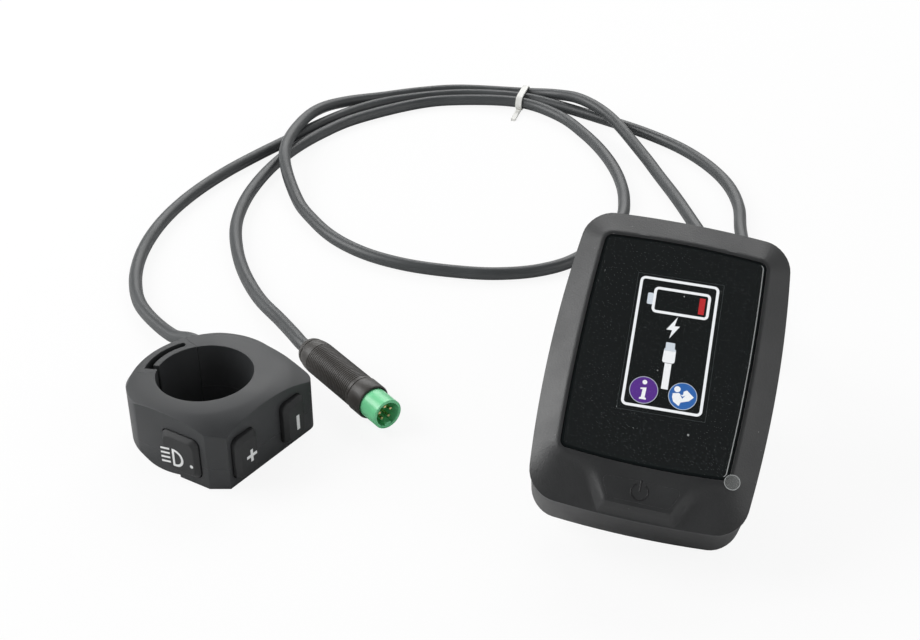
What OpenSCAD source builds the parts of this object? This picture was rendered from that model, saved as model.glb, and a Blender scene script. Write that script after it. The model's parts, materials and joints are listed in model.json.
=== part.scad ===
/* [Display housing] */
// Width of the sloping rim on each side of the window
rim_side = 6.1; // [5:0.1:9]
// Width of the sloping rim above the window
rim_top = 6.7; // [5:0.1:9]
// Height of the housing below the window
chin = 10.8; // [10:0.1:15]
// Thickness from the window face to the back
body_t = 19; // [15:0.1:24]
// Outward bow of each long side
side_bow = 2; // [0.4:0.1:3]
// Outward bow of the top and bottom edges
end_bow = 1.1; // [0.4:0.1:3]
// Radius of the four corners
body_corner = 6; // [3:0.1:9]
// Depth of the sloping rim below the window face
rim_drop = 3.1; // [2:0.1:4]
// Straight edge of the front cover below the rim
rim_edge = 0.9; // [0.6:0.1:2]
// Step inward from the front cover to the rear cover
cover_step = 0.3; // [0.1:0.05:0.8]
// Wall of the rear cover
rear_wall = 1.7; // [1.2:0.1:3]
// Floor of the rear cover
rear_floor = 1.8; // [1.4:0.1:3]
// Height of the slanted edge around the back
back_slant = 1.6; // [0.8:0.1:3]
// Inward run of the slanted edge around the back
back_run = 1.2; // [0.6:0.1:3]

/* [Window] */
// Width of the window glass at its middle
lens_w = 36; // [30:0.1:44]
// Height of the window glass at its middle
lens_h = 50.4; // [40:0.1:60]
// Outward bow of the glass sides
lens_side_bow = 0.7; // [0.2:0.1:2]
// Outward bow of the glass ends
lens_end_bow = 0.8; // [0.2:0.1:2]
// Corner radius of the glass
lens_corner = 1.3; // [0.8:0.1:4]
// Thickness of the glass
lens_t = 1.4; // [1:0.1:2.2]
// Gap around the glass
lens_gap = 0.15; // [0.1:0.05:0.3]
// Flat land of the front cover around the glass
lens_land = 0.8; // [0.5:0.1:1.5]
// Thickness of the tape under the glass
tape_t = 0.3; // [0.2:0.05:0.5]
// Width of the tape under the glass
tape_w = 2; // [1.2:0.1:3]
// Distance from the glass edge in to the liquid crystal panel, at the sides
lcd_side = 5.4; // [4:0.1:8]
// Distance from the glass edge in to the liquid crystal panel, at the ends
lcd_end = 6; // [4:0.1:9]
// Thickness of the liquid crystal panel
lcd_t = 1.8; // [1.2:0.1:2.4]
// Distance from the glass edge in to the panel carrier
carrier_in = 1.2; // [1:0.1:2]
// Thickness of the panel carrier
carrier_t = 2.7; // [2:0.1:4]
// Thickness of the protective film
film_t = 0.12; // [0.08:0.01:0.2]
// Inset of the film from the glass edge
film_inset = 0.5; // [0.2:0.1:2]
// Radius of the film's pull tab
film_tab_r = 1.8; // [1.2:0.1:3]

/* [Electronics] */
// Distance from the inner wall to the main board, at the sides
board_side = 5.2; // [5:0.1:8]
// Distance from the inner wall to the main board, at the top
board_top = 8; // [5:0.1:12]
// Distance from the inner wall to the main board, at the bottom
board_foot = 1; // [1:0.1:2]
// Thickness of the boards
board_t = 1.6; // [1:0.1:2]
// Side of the processor
chip_side = 9; // [6:0.1:12]
// Height of the board's taller parts
part_h = 2.2; // [1:0.1:3]
// Length of the cord connectors on the board
header_l = 8; // [5:0.1:12]
// Width of the cord connectors on the board
header_w = 4.2; // [3:0.1:6]
// Side of the power switch body
switch_side = 4.4; // [3:0.1:6]
// Height of the power switch body
switch_h = 1; // [0.7:0.1:2]
// Radius of the power switch plunger
switch_pin_r = 1.1; // [0.8:0.1:1.6]

/* [Power button] */
// Width of the button at its upper edge
power_w = 19; // [12:0.1:24]
// Width of the button at its lower edge
power_low_w = 15; // [10:0.1:20]
// Height of the button along the face
power_h = 7.2; // [6:0.1:8]
// Distance from the window glass down to the button's upper edge
power_drop = 2; // [1.5:0.1:3]
// Corner radius of the button
power_corner = 1; // [0.5:0.1:2]
// Thickness of the button plate
power_t = 1.2; // [0.8:0.1:2]
// Travel of the power button
power_travel = 0.5; // [0.3:0.1:1]
// Gap around each button
button_gap = 0.15; // [0.1:0.05:0.4]
// Retaining flange around the button plate
power_flange = 0.5; // [0.3:0.1:0.8]
// Thickness of the retaining flange
power_flange_t = 0.8; // [0.5:0.1:1.5]
// Radius of the button stem
power_stem_r = 1.5; // [1:0.1:2]
// Depth of the engraved power mark
mark_depth = 0.15; // [0.05:0.05:0.3]
// Radius of the engraved power mark
mark_r = 1.8; // [1.2:0.05:2.5]
// Stroke of the engraved power mark
mark_stroke = 0.42; // [0.3:0.02:0.6]
// Width of the raised land around the button
hump_land = 0.5; // [0.4:0.1:1]
// Run of the slope around the raised land
hump_run = 1.4; // [1:0.1:2]

/* [Bar clamp] */
// Radius of the handlebar centre section, 25.4 mm across
bar_r = 12.7; // [11:0.05:16]
// Radial allowance of the open clamp on the bar
bar_fit = 0.05; // [0:0.01:0.2]
// Wall of the clamp ring
ring_wall = 5; // [3:0.1:6]
// Width of the clamp ring along the bar
ring_w = 13; // [8:0.1:18]
// Thickness of the bracket plate
plate_t = 2.4; // [2:0.1:4]
// Width of the bracket plate
plate_w = 25; // [18:0.1:32]
// Height of the bracket plate
plate_h = 31; // [24:0.1:40]
// Bracket plate centre above the housing centre
plate_rise = 12; // [5:0.1:18]
// How far the ring stands off the display back
ring_stand = 1.2; // [0.8:0.1:4]
// Tilt of the face from the horizontal
tilt = 35.2; // [20:0.1:60]
// Sideways lean of the head, which rests on one lower corner
roll = 5.4; // [0:0.1:10]
// Turn of the head on the table
turn = 4.8; // [-20:0.1:20]
// Slit of the clamp ring
slit = 2; // [1:0.1:4]
// Thickness of each clamp ear
ear_t = 4.2; // [3:0.1:6]
// Length of the clamp ears beyond the bolt
ear_end = 4.7; // [4:0.1:8]
// Gap between the bolt head and the clamp ring
bolt_room = 0.6; // [0.3:0.1:2]
// Radius of the clamp bolt
bolt_r = 2; // [1.5:0.1:3]
// Radius of the clamp bolt head
bolt_head_r = 3.5; // [3:0.1:5]
// Height of the clamp bolt head
bolt_head_h = 3.8; // [2:0.1:5]
// Width of the hexagon sockets across flats, bolt
bolt_hex = 3; // [2:0.1:4]
// Depth of the bolt's hexagon socket
bolt_hex_depth = 2; // [1:0.1:3]
// Width of the clamp nut across flats
nut_af = 7; // [5.5:0.1:8]
// Thickness of the clamp nut
nut_t = 3.2; // [2:0.1:4]
// Clearance of bolts in their holes
bolt_gap = 0.2; // [0.1:0.05:0.4]

/* [Screws] */
// Radius of the cover screws
cover_screw_r = 1; // [0.8:0.05:1.5]
// Radius of the cover screw heads
cover_head_r = 1.9; // [1.5:0.1:3]
// Height of the cover screw heads
cover_head_h = 1.3; // [0.8:0.1:2]
// Distance of the cover screws from the inner side walls
screw_side = 2.4; // [2:0.1:3]
// Distance of the cover screws from the inner end walls
screw_end = 4.6; // [4:0.1:6]
// Radius of the screw posts
post_r = 2.4; // [1.8:0.1:4]
// Radius of the bracket screws
plate_screw_r = 1.25; // [1:0.05:2]
// Radius of the bracket screw heads
plate_head_r = 2.2; // [1.8:0.1:3]
// Height of the bracket screw heads
plate_head_h = 1.4; // [1:0.1:2]
// Distance of the bracket screws from the plate's edges
plate_screw_in = 3.3; // [3:0.1:5]
// Thread length of the bracket screws in the cover
plate_screw_l = 4; // [2:0.1:6]

/* [Remote] */
// Bore radius for the 22.2 mm grip section of the bar
grip_bore_r = 11.2; // [11.1:0.05:11.4]
// Height of the remote along the bar
remote_h = 17; // [13:0.1:22]
// Radius of the flat face around the bore
face_r = 15.3; // [13:0.1:18]
// Outside radius of the ring
remote_r = 17.9; // [16:0.1:22]
// Wall between the bore and the inside of the remote
bore_wall = 1.3; // [1:0.1:2]
// Distance of the key wall from the bore centre
key_wall = 18.1; // [16:0.1:22]
// Distance of the light wall from the bore centre
light_wall = 16.6; // [15:0.1:20]
// Distance of the corner facet from the bore centre
facet_wall = 20.9; // [19:0.1:25]
// Corner radius at the outer end of the key wall
end_r = 3.1; // [2:0.1:5]
// Height of the joint line between the two shells
joint_line = 5.5; // [3:0.1:9]
// Thickness of the shell walls
shell_wall = 1.7; // [1.2:0.1:2.5]
// Floor and roof of the remote
shell_floor = 1.5; // [1.2:0.1:2.5]
// Bottom edge slant of the ring, radial
foot_run = 1.4; // [0.5:0.1:3]
// Bottom edge slant of the ring, height
foot_rise = 2.6; // [1:0.1:4]
// Radii of the domed top, from the flat face outward
dome_r = [15.3, 17.5, 19.5, 21.5, 26.5]; // [10:0.1:30]
// Heights of the domed top at those radii
dome_z = [17, 16.4, 15.6, 14.4, 11.4]; // [5:0.1:25]

/* [Remote keys] */
// Width of the plus and minus keys along the wall
key_w = 7; // [6:0.1:8]
// Height of the plus and minus keys
key_h = 10.8; // [8:0.1:13]
// Lower edge of the plus and minus keys
key_low = 1.8; // [1:0.1:4]
// How far the keys stand out of the wall
key_out = 1.9; // [0.5:0.1:3]
// Chamfer around the key faces
key_chamfer = 0.9; // [0.3:0.1:1.5]
// Corner radius of the keys
key_corner = 1.6; // [0.5:0.1:3]
// Travel of the keys
key_travel = 0.7; // [0.3:0.1:1.2]
// Retaining flange of the keys
key_flange = 0.7; // [0.4:0.1:1.5]
// Thickness of the retaining flange of the keys
key_flange_t = 0.7; // [0.5:0.1:1.5]
// Centre of the plus key along the wall from the bore's foot point
plus_at = -8; // [-10:0.1:-5]
// Centre of the minus key along the wall from the bore's foot point
minus_at = 8; // [5:0.1:10]
// Width of the light key
light_w = 10.2; // [7:0.1:11]
// Height of the light key
light_h = 10.4; // [7:0.1:12]
// Lower edge of the light key
light_low = 2.1; // [1:0.1:4]
// How far the light key stands out
light_out = 1.2; // [0.5:0.1:3]
// Centre of the light key along its wall from the bore's foot point
light_at = 6; // [3:0.1:7]
// Travel of the light key
light_travel = 0.6; // [0.3:0.1:1]
// Room beside the keys' flanges inside the remote
room_gap = 0.15; // [0.1:0.05:0.4]
// Thickness of the remote's boards
small_board_t = 0.8; // [0.6:0.1:1.2]
// Height of the dome switches
dome_h = 0.5; // [0.3:0.1:1]
// Radius of the dome switches
dome_switch_r = 2; // [1.5:0.1:3]
// Radius of the status light
lamp_r = 0.45; // [0.3:0.05:0.8]

/* [Remote clamp] */
// Start of the clamp jaw from the left side, degrees
jaw_from = 180; // [150:1:200]
// End of the clamp jaw at the bore, degrees
jaw_to = 107; // [90:1:120]
// Turn of the jaw's end face away from the radius, degrees
jaw_skew = 26; // [0:1:40]
// Gap between the jaw and the shells
jaw_gap = 0.12; // [0.05:0.01:0.4]
// Thickness of the spring tongue
tongue_t = 1.4; // [1:0.1:2]
// Outer radius of the slot behind the tongue
slot_r = 14.2; // [13.5:0.1:15]
// Angle where the slot ends beside the jaw's right end
slot_to = 121; // [110:1:135]
// Angle where the tongue ends
tongue_end = 166; // [150:1:175]
// Angle where the slot opens into the bore
slot_from = 173; // [165:1:179]
// Direction of the clamp screw, degrees
screw_dir = 145; // [125:1:160]
// Height of the clamp screw
screw_z = 8.5; // [5:0.1:12]
// Radius of the clamp screw
grub_r = 1.5; // [1:0.1:2]
// Length of the clamp screw
grub_l = 4.6; // [3:0.1:6]
// Hexagon socket of the clamp screw across flats
grub_hex = 1.5; // [1:0.1:2]
// Depth of the clamp screw's socket
grub_hex_depth = 1.6; // [1:0.1:2]
// Outside radius of the threaded insert
insert_r = 2.3; // [1.8:0.1:3]
// Length of the threaded insert
insert_l = 3; // [2:0.1:4]
// Turning clearance of the clamp screw
grub_gap = 0.04; // [0.01:0.01:0.1]
// Gap between the clamp screw and the tongue
tip_gap = 0.1; // [0.05:0.01:0.3]
// Radius of the shell screws
shell_screw_r = 0.8; // [0.6:0.05:1.2]
// Head radius of the shell screws
shell_head_r = 1.5; // [1:0.1:2]
// Head height of the shell screws
shell_head_h = 1; // [0.6:0.1:1.6]
// Thread length of the shell screws in the upper shell
shell_thread = 4; // [2:0.1:6]

/* [Cords and plug] */
// Diameter of both cords
cord_d = 3.6; // [3:0.1:5]
// Outside radius of the cord boots
boot_r = 2.7; // [2.2:0.1:4]
// Radius of the boot at its thin end
boot_tip_r = 2.2; // [2:0.1:3]
// Length of the cord boots outside the housing
boot_l = 5; // [3:0.1:9]
// Collar of the boots inside the housing
boot_collar = 0.8; // [0.5:0.1:1.5]
// Radius of the plug barrel
barrel_r = 4.25; // [3.5:0.05:6]
// Length of the plug barrel
barrel_l = 24.7; // [22:0.1:40]
// Radius of the plug insert
nose_r = 3.75; // [2.5:0.05:4]
// Length of the plug insert outside the barrel
nose_l = 5.8; // [3:0.1:8]
// Length of the plug insert inside the barrel
nose_in = 4; // [2:0.1:6]
// Step inward of the plug insert inside the barrel
nose_step = 0.3; // [0.1:0.1:0.6]
// Radius of the hollow in the plug insert
hollow_r = 3.05; // [1.8:0.05:3]
// Depth of the hollow in the plug insert
hollow_l = 4.6; // [3:0.1:6]
// Width of the key rib in the hollow
rib_w = 1.6; // [0.8:0.1:2]
// Height of the key rib in the hollow
rib_h = 0.8; // [0.3:0.1:1]
// Radius of the pins
pin_r = 0.35; // [0.25:0.01:0.5]
// Length of the pins in the hollow
pin_l = 3.6; // [2:0.1:5]
// Radius of the pin circle
pin_ring = 1.6; // [1:0.05:2]
// Number of pins
pin_count = 5; // [3:1:8]
// Width of the tie strip
tie_w = 2; // [1:0.1:4]
// Thickness of the tie strip
tie_t = 0.5; // [0.3:0.1:1]
// Length of the tie's free end
tie_tail = 8; // [4:0.1:20]

/* [Hidden] */

// Cutting overrun
over = 0.4;
// Thin slice used at the ends of a blend
slice = 0.01;
// Facets of round parts
fine = 96;
// Facets of small round parts
small = 48;
// Facets of a rounded polygon corner
corner_steps = 8;
// Subdivisions of a bowed side
side_steps = 10;
// Sides of a cord
cord_sides = 8;

// Levels of the display, measured from the window face
split_z = -(rim_drop + rim_edge);
ledge_z = -(lens_t + tape_t);
carrier_top = -(lens_t + lcd_t);
carrier_low = carrier_top - carrier_t;
board_low = carrier_low - board_t;
back_z = -body_t;
floor_z = back_z + rear_floor;
slant_z = back_z + back_slant;

// Outline of the housing and the rear cover
body_w = lens_w + 2 * rim_side;
body_h = lens_h + rim_top + chin;
lens_rise = (chin - rim_top) / 2;
rear_w = body_w - 2 * cover_step;
rear_h = body_h - 2 * cover_step;
rear_corner = body_corner - cover_step;
in_w = rear_w - 2 * rear_wall;
in_h = rear_h - 2 * rear_wall;
in_corner = rear_corner - rear_wall;
body_pts = bowed(body_w, body_h, body_corner, side_bow, end_bow);
rear_pts = bowed(rear_w, rear_h, rear_corner, side_bow, end_bow);
inner_pts = bowed(in_w, in_h, in_corner, side_bow, end_bow);
glass_pts = bowed(lens_w, lens_h, lens_corner, lens_side_bow, lens_end_bow);
land_pts = grown(glass_pts, lens_land);
pocket_pts = grown(glass_pts, lens_gap);
view_pts = rounded(box_pts(lens_w - 2 * tape_w - lens_side_bow,
  lens_h - 2 * tape_w - lens_end_bow), lens_corner);
lcd_w = lens_w - 2 * lcd_side;
lcd_h = lens_h - 2 * lcd_end;
carrier_w = lens_w - 2 * carrier_in;
carrier_h = lens_h - 2 * carrier_in;
cover_screw_x = in_w / 2 - screw_side;
cover_screw_y = in_h / 2 - screw_end;

// Seal in the rim of the rear cover
seal_in = 0.45;
seal_w = 0.8;
seal_t = 0.7;

// Clamp ring and its place behind the display
bore = bar_r + bar_fit;
ring_out = bore + ring_wall;
bar_z = back_z - ring_stand - ring_out;
up = [-sin(roll), cos(roll) * sin(tilt), cos(roll) * cos(tilt)];
table_z = -ring_out * cos(roll) - ring_w / 2 * abs(sin(roll));
foot = min([for (e = [[rear_pts, slant_z], [grown(rear_pts, -back_run), back_z]])
  for (p = e[0]) up * [p.x, p.y, e[1]]]);
bar_y = (foot - up.z * bar_z - table_z) / up.y;
bolt_reach = ring_out + bolt_head_r + bolt_room;
ear_reach = bolt_reach + ear_end;
plate_screw_x = plate_w / 2 - plate_screw_in;
plate_screw_y = plate_h / 2 - plate_screw_in;
ear_dir = 180 - tilt / 2;
ear_root = bore + ring_wall / 4;
ear_step = 0.6;
ear_w = ring_w - 2 * ear_step;
web_low = (bore + ring_wall / 2) * sin(45);
web_end = 0.6;

// Power button
power_top = lens_h / 2 - lens_rise + power_drop;
power_mid = -(power_top + power_h / 2);
power_pts = [[-power_w / 2, -power_top], [-power_low_w / 2, -power_top - power_h],
  [power_low_w / 2, -power_top - power_h], [power_w / 2, -power_top]];
switch_top = carrier_low + switch_h;
switch_pin = 0.6;
stem_low = switch_top + switch_pin + power_travel + tip_gap / 2;

// Main board
board_w = in_w - 2 * board_side;
board_h = in_h - board_top - board_foot;
board_mid = (board_foot - board_top) / 2;
board_post_r = 1.5;
post_shares = [[-0.8, 0.8], [0.8, 0.8], [-0.8, -0.86], [0.8, -0.86]];
chip_t = 1.2;
chip_shares = [[0, 0.4]];
header_shares = [[-0.53, -0.45], [0.53, -0.45]];
small_part_shares = [[-0.53, 0.75], [0.53, 0.75], [-0.59, 0.02], [0.65, 0.13]];
small_part = [3, 2, 1];

// Boots on the back of the display
boot_x = [9.8, 17.2];
boot_y = -8;
cord_r = cord_d / 2;

// Remote placed beside the display
remote_at = [-97.8, -50.27];
remote_turn = 17.5;
key_dir = -35.5;
light_dir = -121;
facet_dir = -90;
back_dir = 54;
back_wall = remote_r - 0.3;
flank_x = 3.6;
flank_y = 2.8;
// Where the round shapes of the remote start, turned to its plain back
seam_turn = 68;
flank_r = [20.2, 22.6, 27];
flank_z = [17.2, 13.6, 7];
key_inner = key_wall - shell_wall;
light_inner = light_wall - shell_wall;
inner_r = grip_bore_r + bore_wall;
key_board_x = 12.9;
light_board_x = 12.2;
key_room = [plus_at - key_w / 2 - key_flange - room_gap,
  minus_at + key_w / 2 + key_flange + room_gap];
light_room = [light_at - light_w / 2 - key_flange - room_gap,
  light_at + light_w / 2 + key_flange + room_gap];
room_top = 13.5;
room_low = 1.1;
key_board_end = 3.8;
light_board_y = [3.8, 9.5];
board_z = [2.2, 11.8];
// The last shell screw and the cord's entry keep beside the jaw's end
screw_dirs = [208, 20, jaw_to - 25];
screw_ring = 14.9;
grommet_dir = jaw_to - 3;
grommet_z = 8.5;
grommet_in = 14.4;
grommet_out = 23;
grommet_r = 2.7;
lamp_y = 9.4;
lamp_z = 5.6;
lamp_l = 0.8;
key_stem_r = 1.3;
key_stem_l = 0.65;
light_switch_y = 6.4;
key_seat = 0.8;

// Plug on the table
plug_at = [-87.2, -16.57];
plug_turn = -35.3;
shoulder_l = 4.4;
// Rounded rear end of the barrel, shares of its radius and of the shoulder's length
shoulder_shares = [[0.5, 0], [0.72, 0.18], [0.86, 0.46], [0.88, 0.56], [0.85, 0.6],
  [0.89, 0.66], [0.96, 0.9], [1, 1.3]];
collar_l = 4.7;
collar_out = 0.15;
pin_turn = 36;
mouth_l = 1.6;
mouth_gap = 0.25;

// Shares of the power mark and of the step round the power key
step_share = 0.8;
gap_share = 1.5;
bar_share = 0.15;

// Tie around the three strands
tie_at = [-77.3, 148.53, 2.4];
tie_turn = 2;
strand_step = 4;
tie_gap = 0.25;
tail_w = 1.5;
tail_h = 0.9;
stub_l = 4;

// Route points of the cord to the remote, above the table
remote_route = [[18.6, -28.9, 4.7], [18.2, -22.4, 2.2], [17.8, -12, 1.8], [17.8, 0, 1.8],
  [19.2, 12, 1.8],
  [21.2, 24.5, 1.8], [18.9, 39.5, 1.8], [14.7, 54.5, 1.8], [9.7, 67.5, 1.8], [6.2, 80.5, 1.8],
  [3.5, 94.5, 1.8], [-1.5, 107, 1.8], [-9.3, 118, 1.8], [-19.3, 127.3, 1.8], [-31.3, 134.5, 1.8],
  [-44.3, 140, 1.8], [-66.3, 146.8, 2.2], [-77.3, 148.5, 2.4], [-99.3, 145.2, 2],
  [-120.3, 132.4, 1.8], [-128.3, 122.7, 1.8], [-134.9, 110.1, 1.8], [-140.1, 96.5, 1.8],
  [-145.1, 83.5, 1.8], [-149.7, 69.5, 1.8], [-152.9, 54.5, 1.8], [-154, 40.5, 1.8],
  [-153.1, 27.5, 1.8], [-150.2, 14.5, 1.8], [-145.3, 2.7, 1.8], [-138.3, -7.5, 1.8],
  [-121.8, -21.1, 4], [-115.1, -24.7, 6.6]];

// Route points of the cord to the plug, above the table
plug_route = [[11.2, -29.4, 5], [10.9, -22.8, 2.3], [10.9, -12, 1.8], [11.6, 0, 1.8],
  [12.8, 11, 1.8],
  [13.9, 22.5, 1.8], [11.7, 37.5, 1.8], [7.3, 51.5, 1.8], [1.1, 65, 1.8], [-6.8, 79.5, 1.8],
  [-14.8, 94, 1.8], [-22.7, 107, 1.9], [-30.3, 118.1, 3], [-45.8, 136.7, 5.9], [-56.8, 144.9, 6.3],
  [-66.5, 150.7, 4.1], [-77.3, 152.5, 2.4], [-100.7, 148.9, 2], [-112.3, 143.5, 1.8],
  [-123, 135.5, 2], [-131.5, 125.5, 3.6], [-136.3, 114.1, 5.4], [-137.9, 102.5, 5.8],
  [-134.7, 80.5, 5.6], [-121.9, 59.5, 1.9], [-113.3, 49.9, 1.8], [-103.3, 41.5, 1.8],
  [-91.8, 35.9, 1.8], [-79.3, 33.5, 1.8], [-66.3, 33.9, 1.8], [-53.8, 36.3, 1.8],
  [-42.9, 41.7, 1.8], [-34.9, 50.5, 1.8], [-27.9, 74.5, 1.8], [-29.5, 88.5, 1.8],
  [-34.3, 102.5, 1.8], [-41.7, 116.1, 1.8], [-51.3, 128.7, 1.8], [-62.3, 138.9, 2.1],
  [-76.9, 144.5, 2.4], [-99.7, 140.5, 1.9], [-109.9, 134.5, 1.8], [-126.1, 116.1, 1.8],
  [-131.7, 104.5, 1.8], [-135.5, 92.5, 1.8], [-137.5, 79.5, 1.8], [-137.7, 66.5, 1.8],
  [-136.3, 53.5, 1.8], [-132.9, 40.5, 1.8], [-127.3, 28.5, 1.8], [-119.7, 16.5, 1.8],
  [-109.9, 4.9, 1.9], [-99.7, -4.5, 2.8], [-93.3, -11.1, 4]];

function unit(v) = v / norm(v);
function spin(v, a) = [v.x * cos(a) - v.y * sin(a), v.x * sin(a) + v.y * cos(a)];
function dir(a) = [cos(a), sin(a)];
// A direction or place of the display turned into the row
function leaned(p) = let (q = [p.x, p.y * cos(tilt) - p.z * sin(tilt),
    p.y * sin(tilt) + p.z * cos(tilt)],
  v = spin([q.x * cos(roll) + q.z * sin(roll), q.y], turn))
  [v.x, v.y, q.z * cos(roll) - q.x * sin(roll)];
function meet(a, da, b, db) = [(da * b.y - db * a.y) / (a.x * b.y - a.y * b.x),
  (a.x * db - b.x * da) / (a.x * b.y - a.y * b.x)];

// Points of one rounded corner of a convex outline
function corner(before, at, after, r) =
  let (a = unit(before - at), b = unit(after - at), half = acos(a * b) / 2)
  let (c = at + unit(a + b) * r / sin(half), turn = 180 - 2 * half)
  let (u = unit(at + a * r / tan(half) - c), v = unit(at + b * r / tan(half) - c))
  [for (k = [0:corner_steps]) let (t = k / corner_steps)
    c + r * (sin((1 - t) * turn) * u + sin(t * turn) * v) / sin(turn)];
function rounded(pts, r) = [for (i = [0:len(pts) - 1])
  each corner(pts[(i + len(pts) - 1) % len(pts)], pts[i], pts[(i + 1) % len(pts)], r)];
function box_pts(w, h) = [[-w / 2, -h / 2], [w / 2, -h / 2], [w / 2, h / 2], [-w / 2, h / 2]];

// A rounded rectangle with points along its sides, then bowed outward
function straight(w, h, r) = let (p = rounded(box_pts(w, h), r), n = corner_steps + 1)
  [for (q = [0:3]) each concat([for (k = [0:corner_steps]) p[q * n + k]],
    [for (j = [1:side_steps - 1]) let (t = j / side_steps, a = p[q * n + corner_steps],
      b = p[((q + 1) % 4) * n]) a * (1 - t) + b * t])];
function bowed(w, h, r, sb, eb) = [for (p = straight(w, h, r))
  [p.x * (1 - 2 * sb / w * pow(2 * p.y / h, 2)), p.y * (1 - 2 * eb / h * pow(2 * p.x / w, 2))]];
function grown(pts, d) = let (n = len(pts)) [for (i = [0:n - 1])
  let (t = unit(pts[(i + 1) % n] - pts[(i + n - 1) % n])) pts[i] + d * [t.y, -t.x]];

// Rings and faces of a cord along its route
function tangent(p, i) = unit(p[min(i + 1, len(p) - 1)] - p[max(i - 1, 0)]);
function cord_pts(p, r) = [for (i = [0:len(p) - 1])
  let (t = tangent(p, i), s = unit(cross(t, [0, 0, 1])), u = cross(s, t))
  for (k = [0:cord_sides - 1]) p[i] + r * (cos(360 * k / cord_sides) * s
    + sin(360 * k / cord_sides) * u)];
function cord_faces(n) = concat([[for (k = [0:cord_sides - 1]) k]],
  [for (i = [0:n - 2]) for (k = [0:cord_sides - 1]) let (m = (k + 1) % cord_sides)
    each [[i * cord_sides + k, (i + 1) * cord_sides + k, (i + 1) * cord_sides + m],
      [i * cord_sides + k, (i + 1) * cord_sides + m, i * cord_sides + m]]],
  [[for (k = [cord_sides - 1:-1:0]) (n - 1) * cord_sides + k]]);

module slab(pts, z0, z1) {
  translate([0, 0, z0])
    linear_extrude(z1 - z0)
      polygon(pts);
}

module post(at, r, z0, z1) {
  translate([at.x, at.y, z0])
    cylinder(h = z1 - z0, r = r, $fn = small);
}

module hexagon(af, z0, z1) {
  translate([0, 0, z0])
    cylinder(h = z1 - z0, r = af / sqrt(3), $fn = 6);
}

module display_frame() {
  rotate([tilt, roll, turn])
    translate([0, -bar_y, -bar_z])
      children();
}

module ear_frame() {
  translate([0, bar_y, bar_z])
    rotate([ear_dir, 0, 0])
      children();
}

module remote_frame() {
  translate([remote_at.x, remote_at.y, table_z])
    rotate([0, 0, remote_turn])
      children();
}

module wall_frame(direction) {
  rotate([0, 0, direction])
    children();
}

module plug_frame() {
  translate([plug_at.x, plug_at.y, table_z + plug_z])
    rotate([0, 0, plug_turn])
      rotate([0, 90, 0])
        children();
}

module lens_place() {
  translate([0, lens_rise, 0])
    children();
}

module front_form() {
  hull() {
    slab(body_pts, split_z, -rim_drop);
    lens_place()
      slab(land_pts, -slice, 0);
  }
  hull() {
    slab(rounded(grown(power_pts, hump_land), power_corner), -slice, 0);
    slab(rounded(grown(power_pts, hump_land + hump_run * step_share), power_corner),
      -rim_drop, -rim_drop + slice);
  }
}

module screw_spots() {
  for (sx = [-1, 1])
    for (sy = [-1, 1])
      translate([sx * cover_screw_x, sy * cover_screw_y, 0])
        children();
}

module front_cover() {
  color("#3a3c3e")
    display_frame()
      difference() {
        front_form();
        lens_place() {
          slab(pocket_pts, ledge_z, over);
          slab(view_pts, split_z - over, over);
          slab(rounded(box_pts(carrier_w + 2 * lens_gap, carrier_h + 2 * lens_gap), lens_gap),
            split_z - over, carrier_top);
        }
        slab(rounded(grown(power_pts, button_gap), power_corner), split_z - over, over);
        slab(rounded(grown(power_pts, power_flange + button_gap), power_corner),
          split_z - over, -power_t);
        screw_spots()
          post([0, 0], cover_screw_r, split_z - over, split_z + cover_head_h);
      }
}

module display_lens() {
  color("#1b2022")
    display_frame()
      lens_place()
        slab(glass_pts, -lens_t, 0);
}

module lens_tape() {
  color("#101010")
    display_frame()
      lens_place()
        difference() {
          slab(glass_pts, ledge_z, -lens_t);
          slab(view_pts, ledge_z - over, -lens_t + over);
        }
}

module lcd_panel() {
  color("#26303a")
    display_frame()
      lens_place()
        slab(box_pts(lcd_w, lcd_h), carrier_top, -lens_t);
}

module lcd_carrier() {
  color("#e8e8e4")
    display_frame()
      lens_place()
        slab(box_pts(carrier_w, carrier_h), carrier_low, carrier_top);
}

module main_board() {
  color("#1f6b3a")
    display_frame()
      translate([0, board_mid, 0])
        slab(box_pts(board_w, board_h), board_low, carrier_low);
}

module on_board(shares) {
  for (p = shares)
    translate([p.x * board_w / 2, board_mid + p.y * board_h / 2, 0])
      children();
}

module board_parts() {
  color("#2a2a2c")
    display_frame() {
      on_board(chip_shares)
        slab(box_pts(chip_side, chip_side), board_low - chip_t, board_low);
      on_board(header_shares)
        slab(box_pts(header_l, header_w), board_low - part_h, board_low);
      on_board(small_part_shares)
        slab(box_pts(small_part.x, small_part.y), board_low - small_part.z, board_low);
    }
}

module power_mark() {
  translate([0, power_mid, -mark_depth])
    difference() {
      cylinder(h = mark_depth + over, r = mark_r, $fn = fine);
      translate([0, 0, -over])
        cylinder(h = mark_depth + 3 * over, r = mark_r - mark_stroke, $fn = fine);
      translate([-mark_stroke * gap_share, 0, -over])
        cube([mark_stroke * 3, mark_r + over, mark_depth + 3 * over]);
    }
  translate([-mark_stroke / 2, power_mid + mark_r * bar_share, -mark_depth])
    cube([mark_stroke, mark_r * 1.15, mark_depth + over]);
}

module power_button() {
  color("#303234")
    display_frame() {
      difference() {
        slab(rounded(power_pts, power_corner), -power_t, 0);
        power_mark();
      }
      slab(rounded(grown(power_pts, power_flange), power_corner),
        -power_t - power_flange_t, -power_t);
      post([0, power_mid], power_stem_r, stem_low, -power_t - power_flange_t);
    }
}

module power_switch() {
  color("#b9bcc0")
    display_frame()
      translate([0, power_mid, 0]) {
        slab(box_pts(switch_side, switch_side), carrier_low, switch_top);
        post([0, 0], switch_pin_r, switch_top, switch_top + switch_pin);
      }
}

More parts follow.
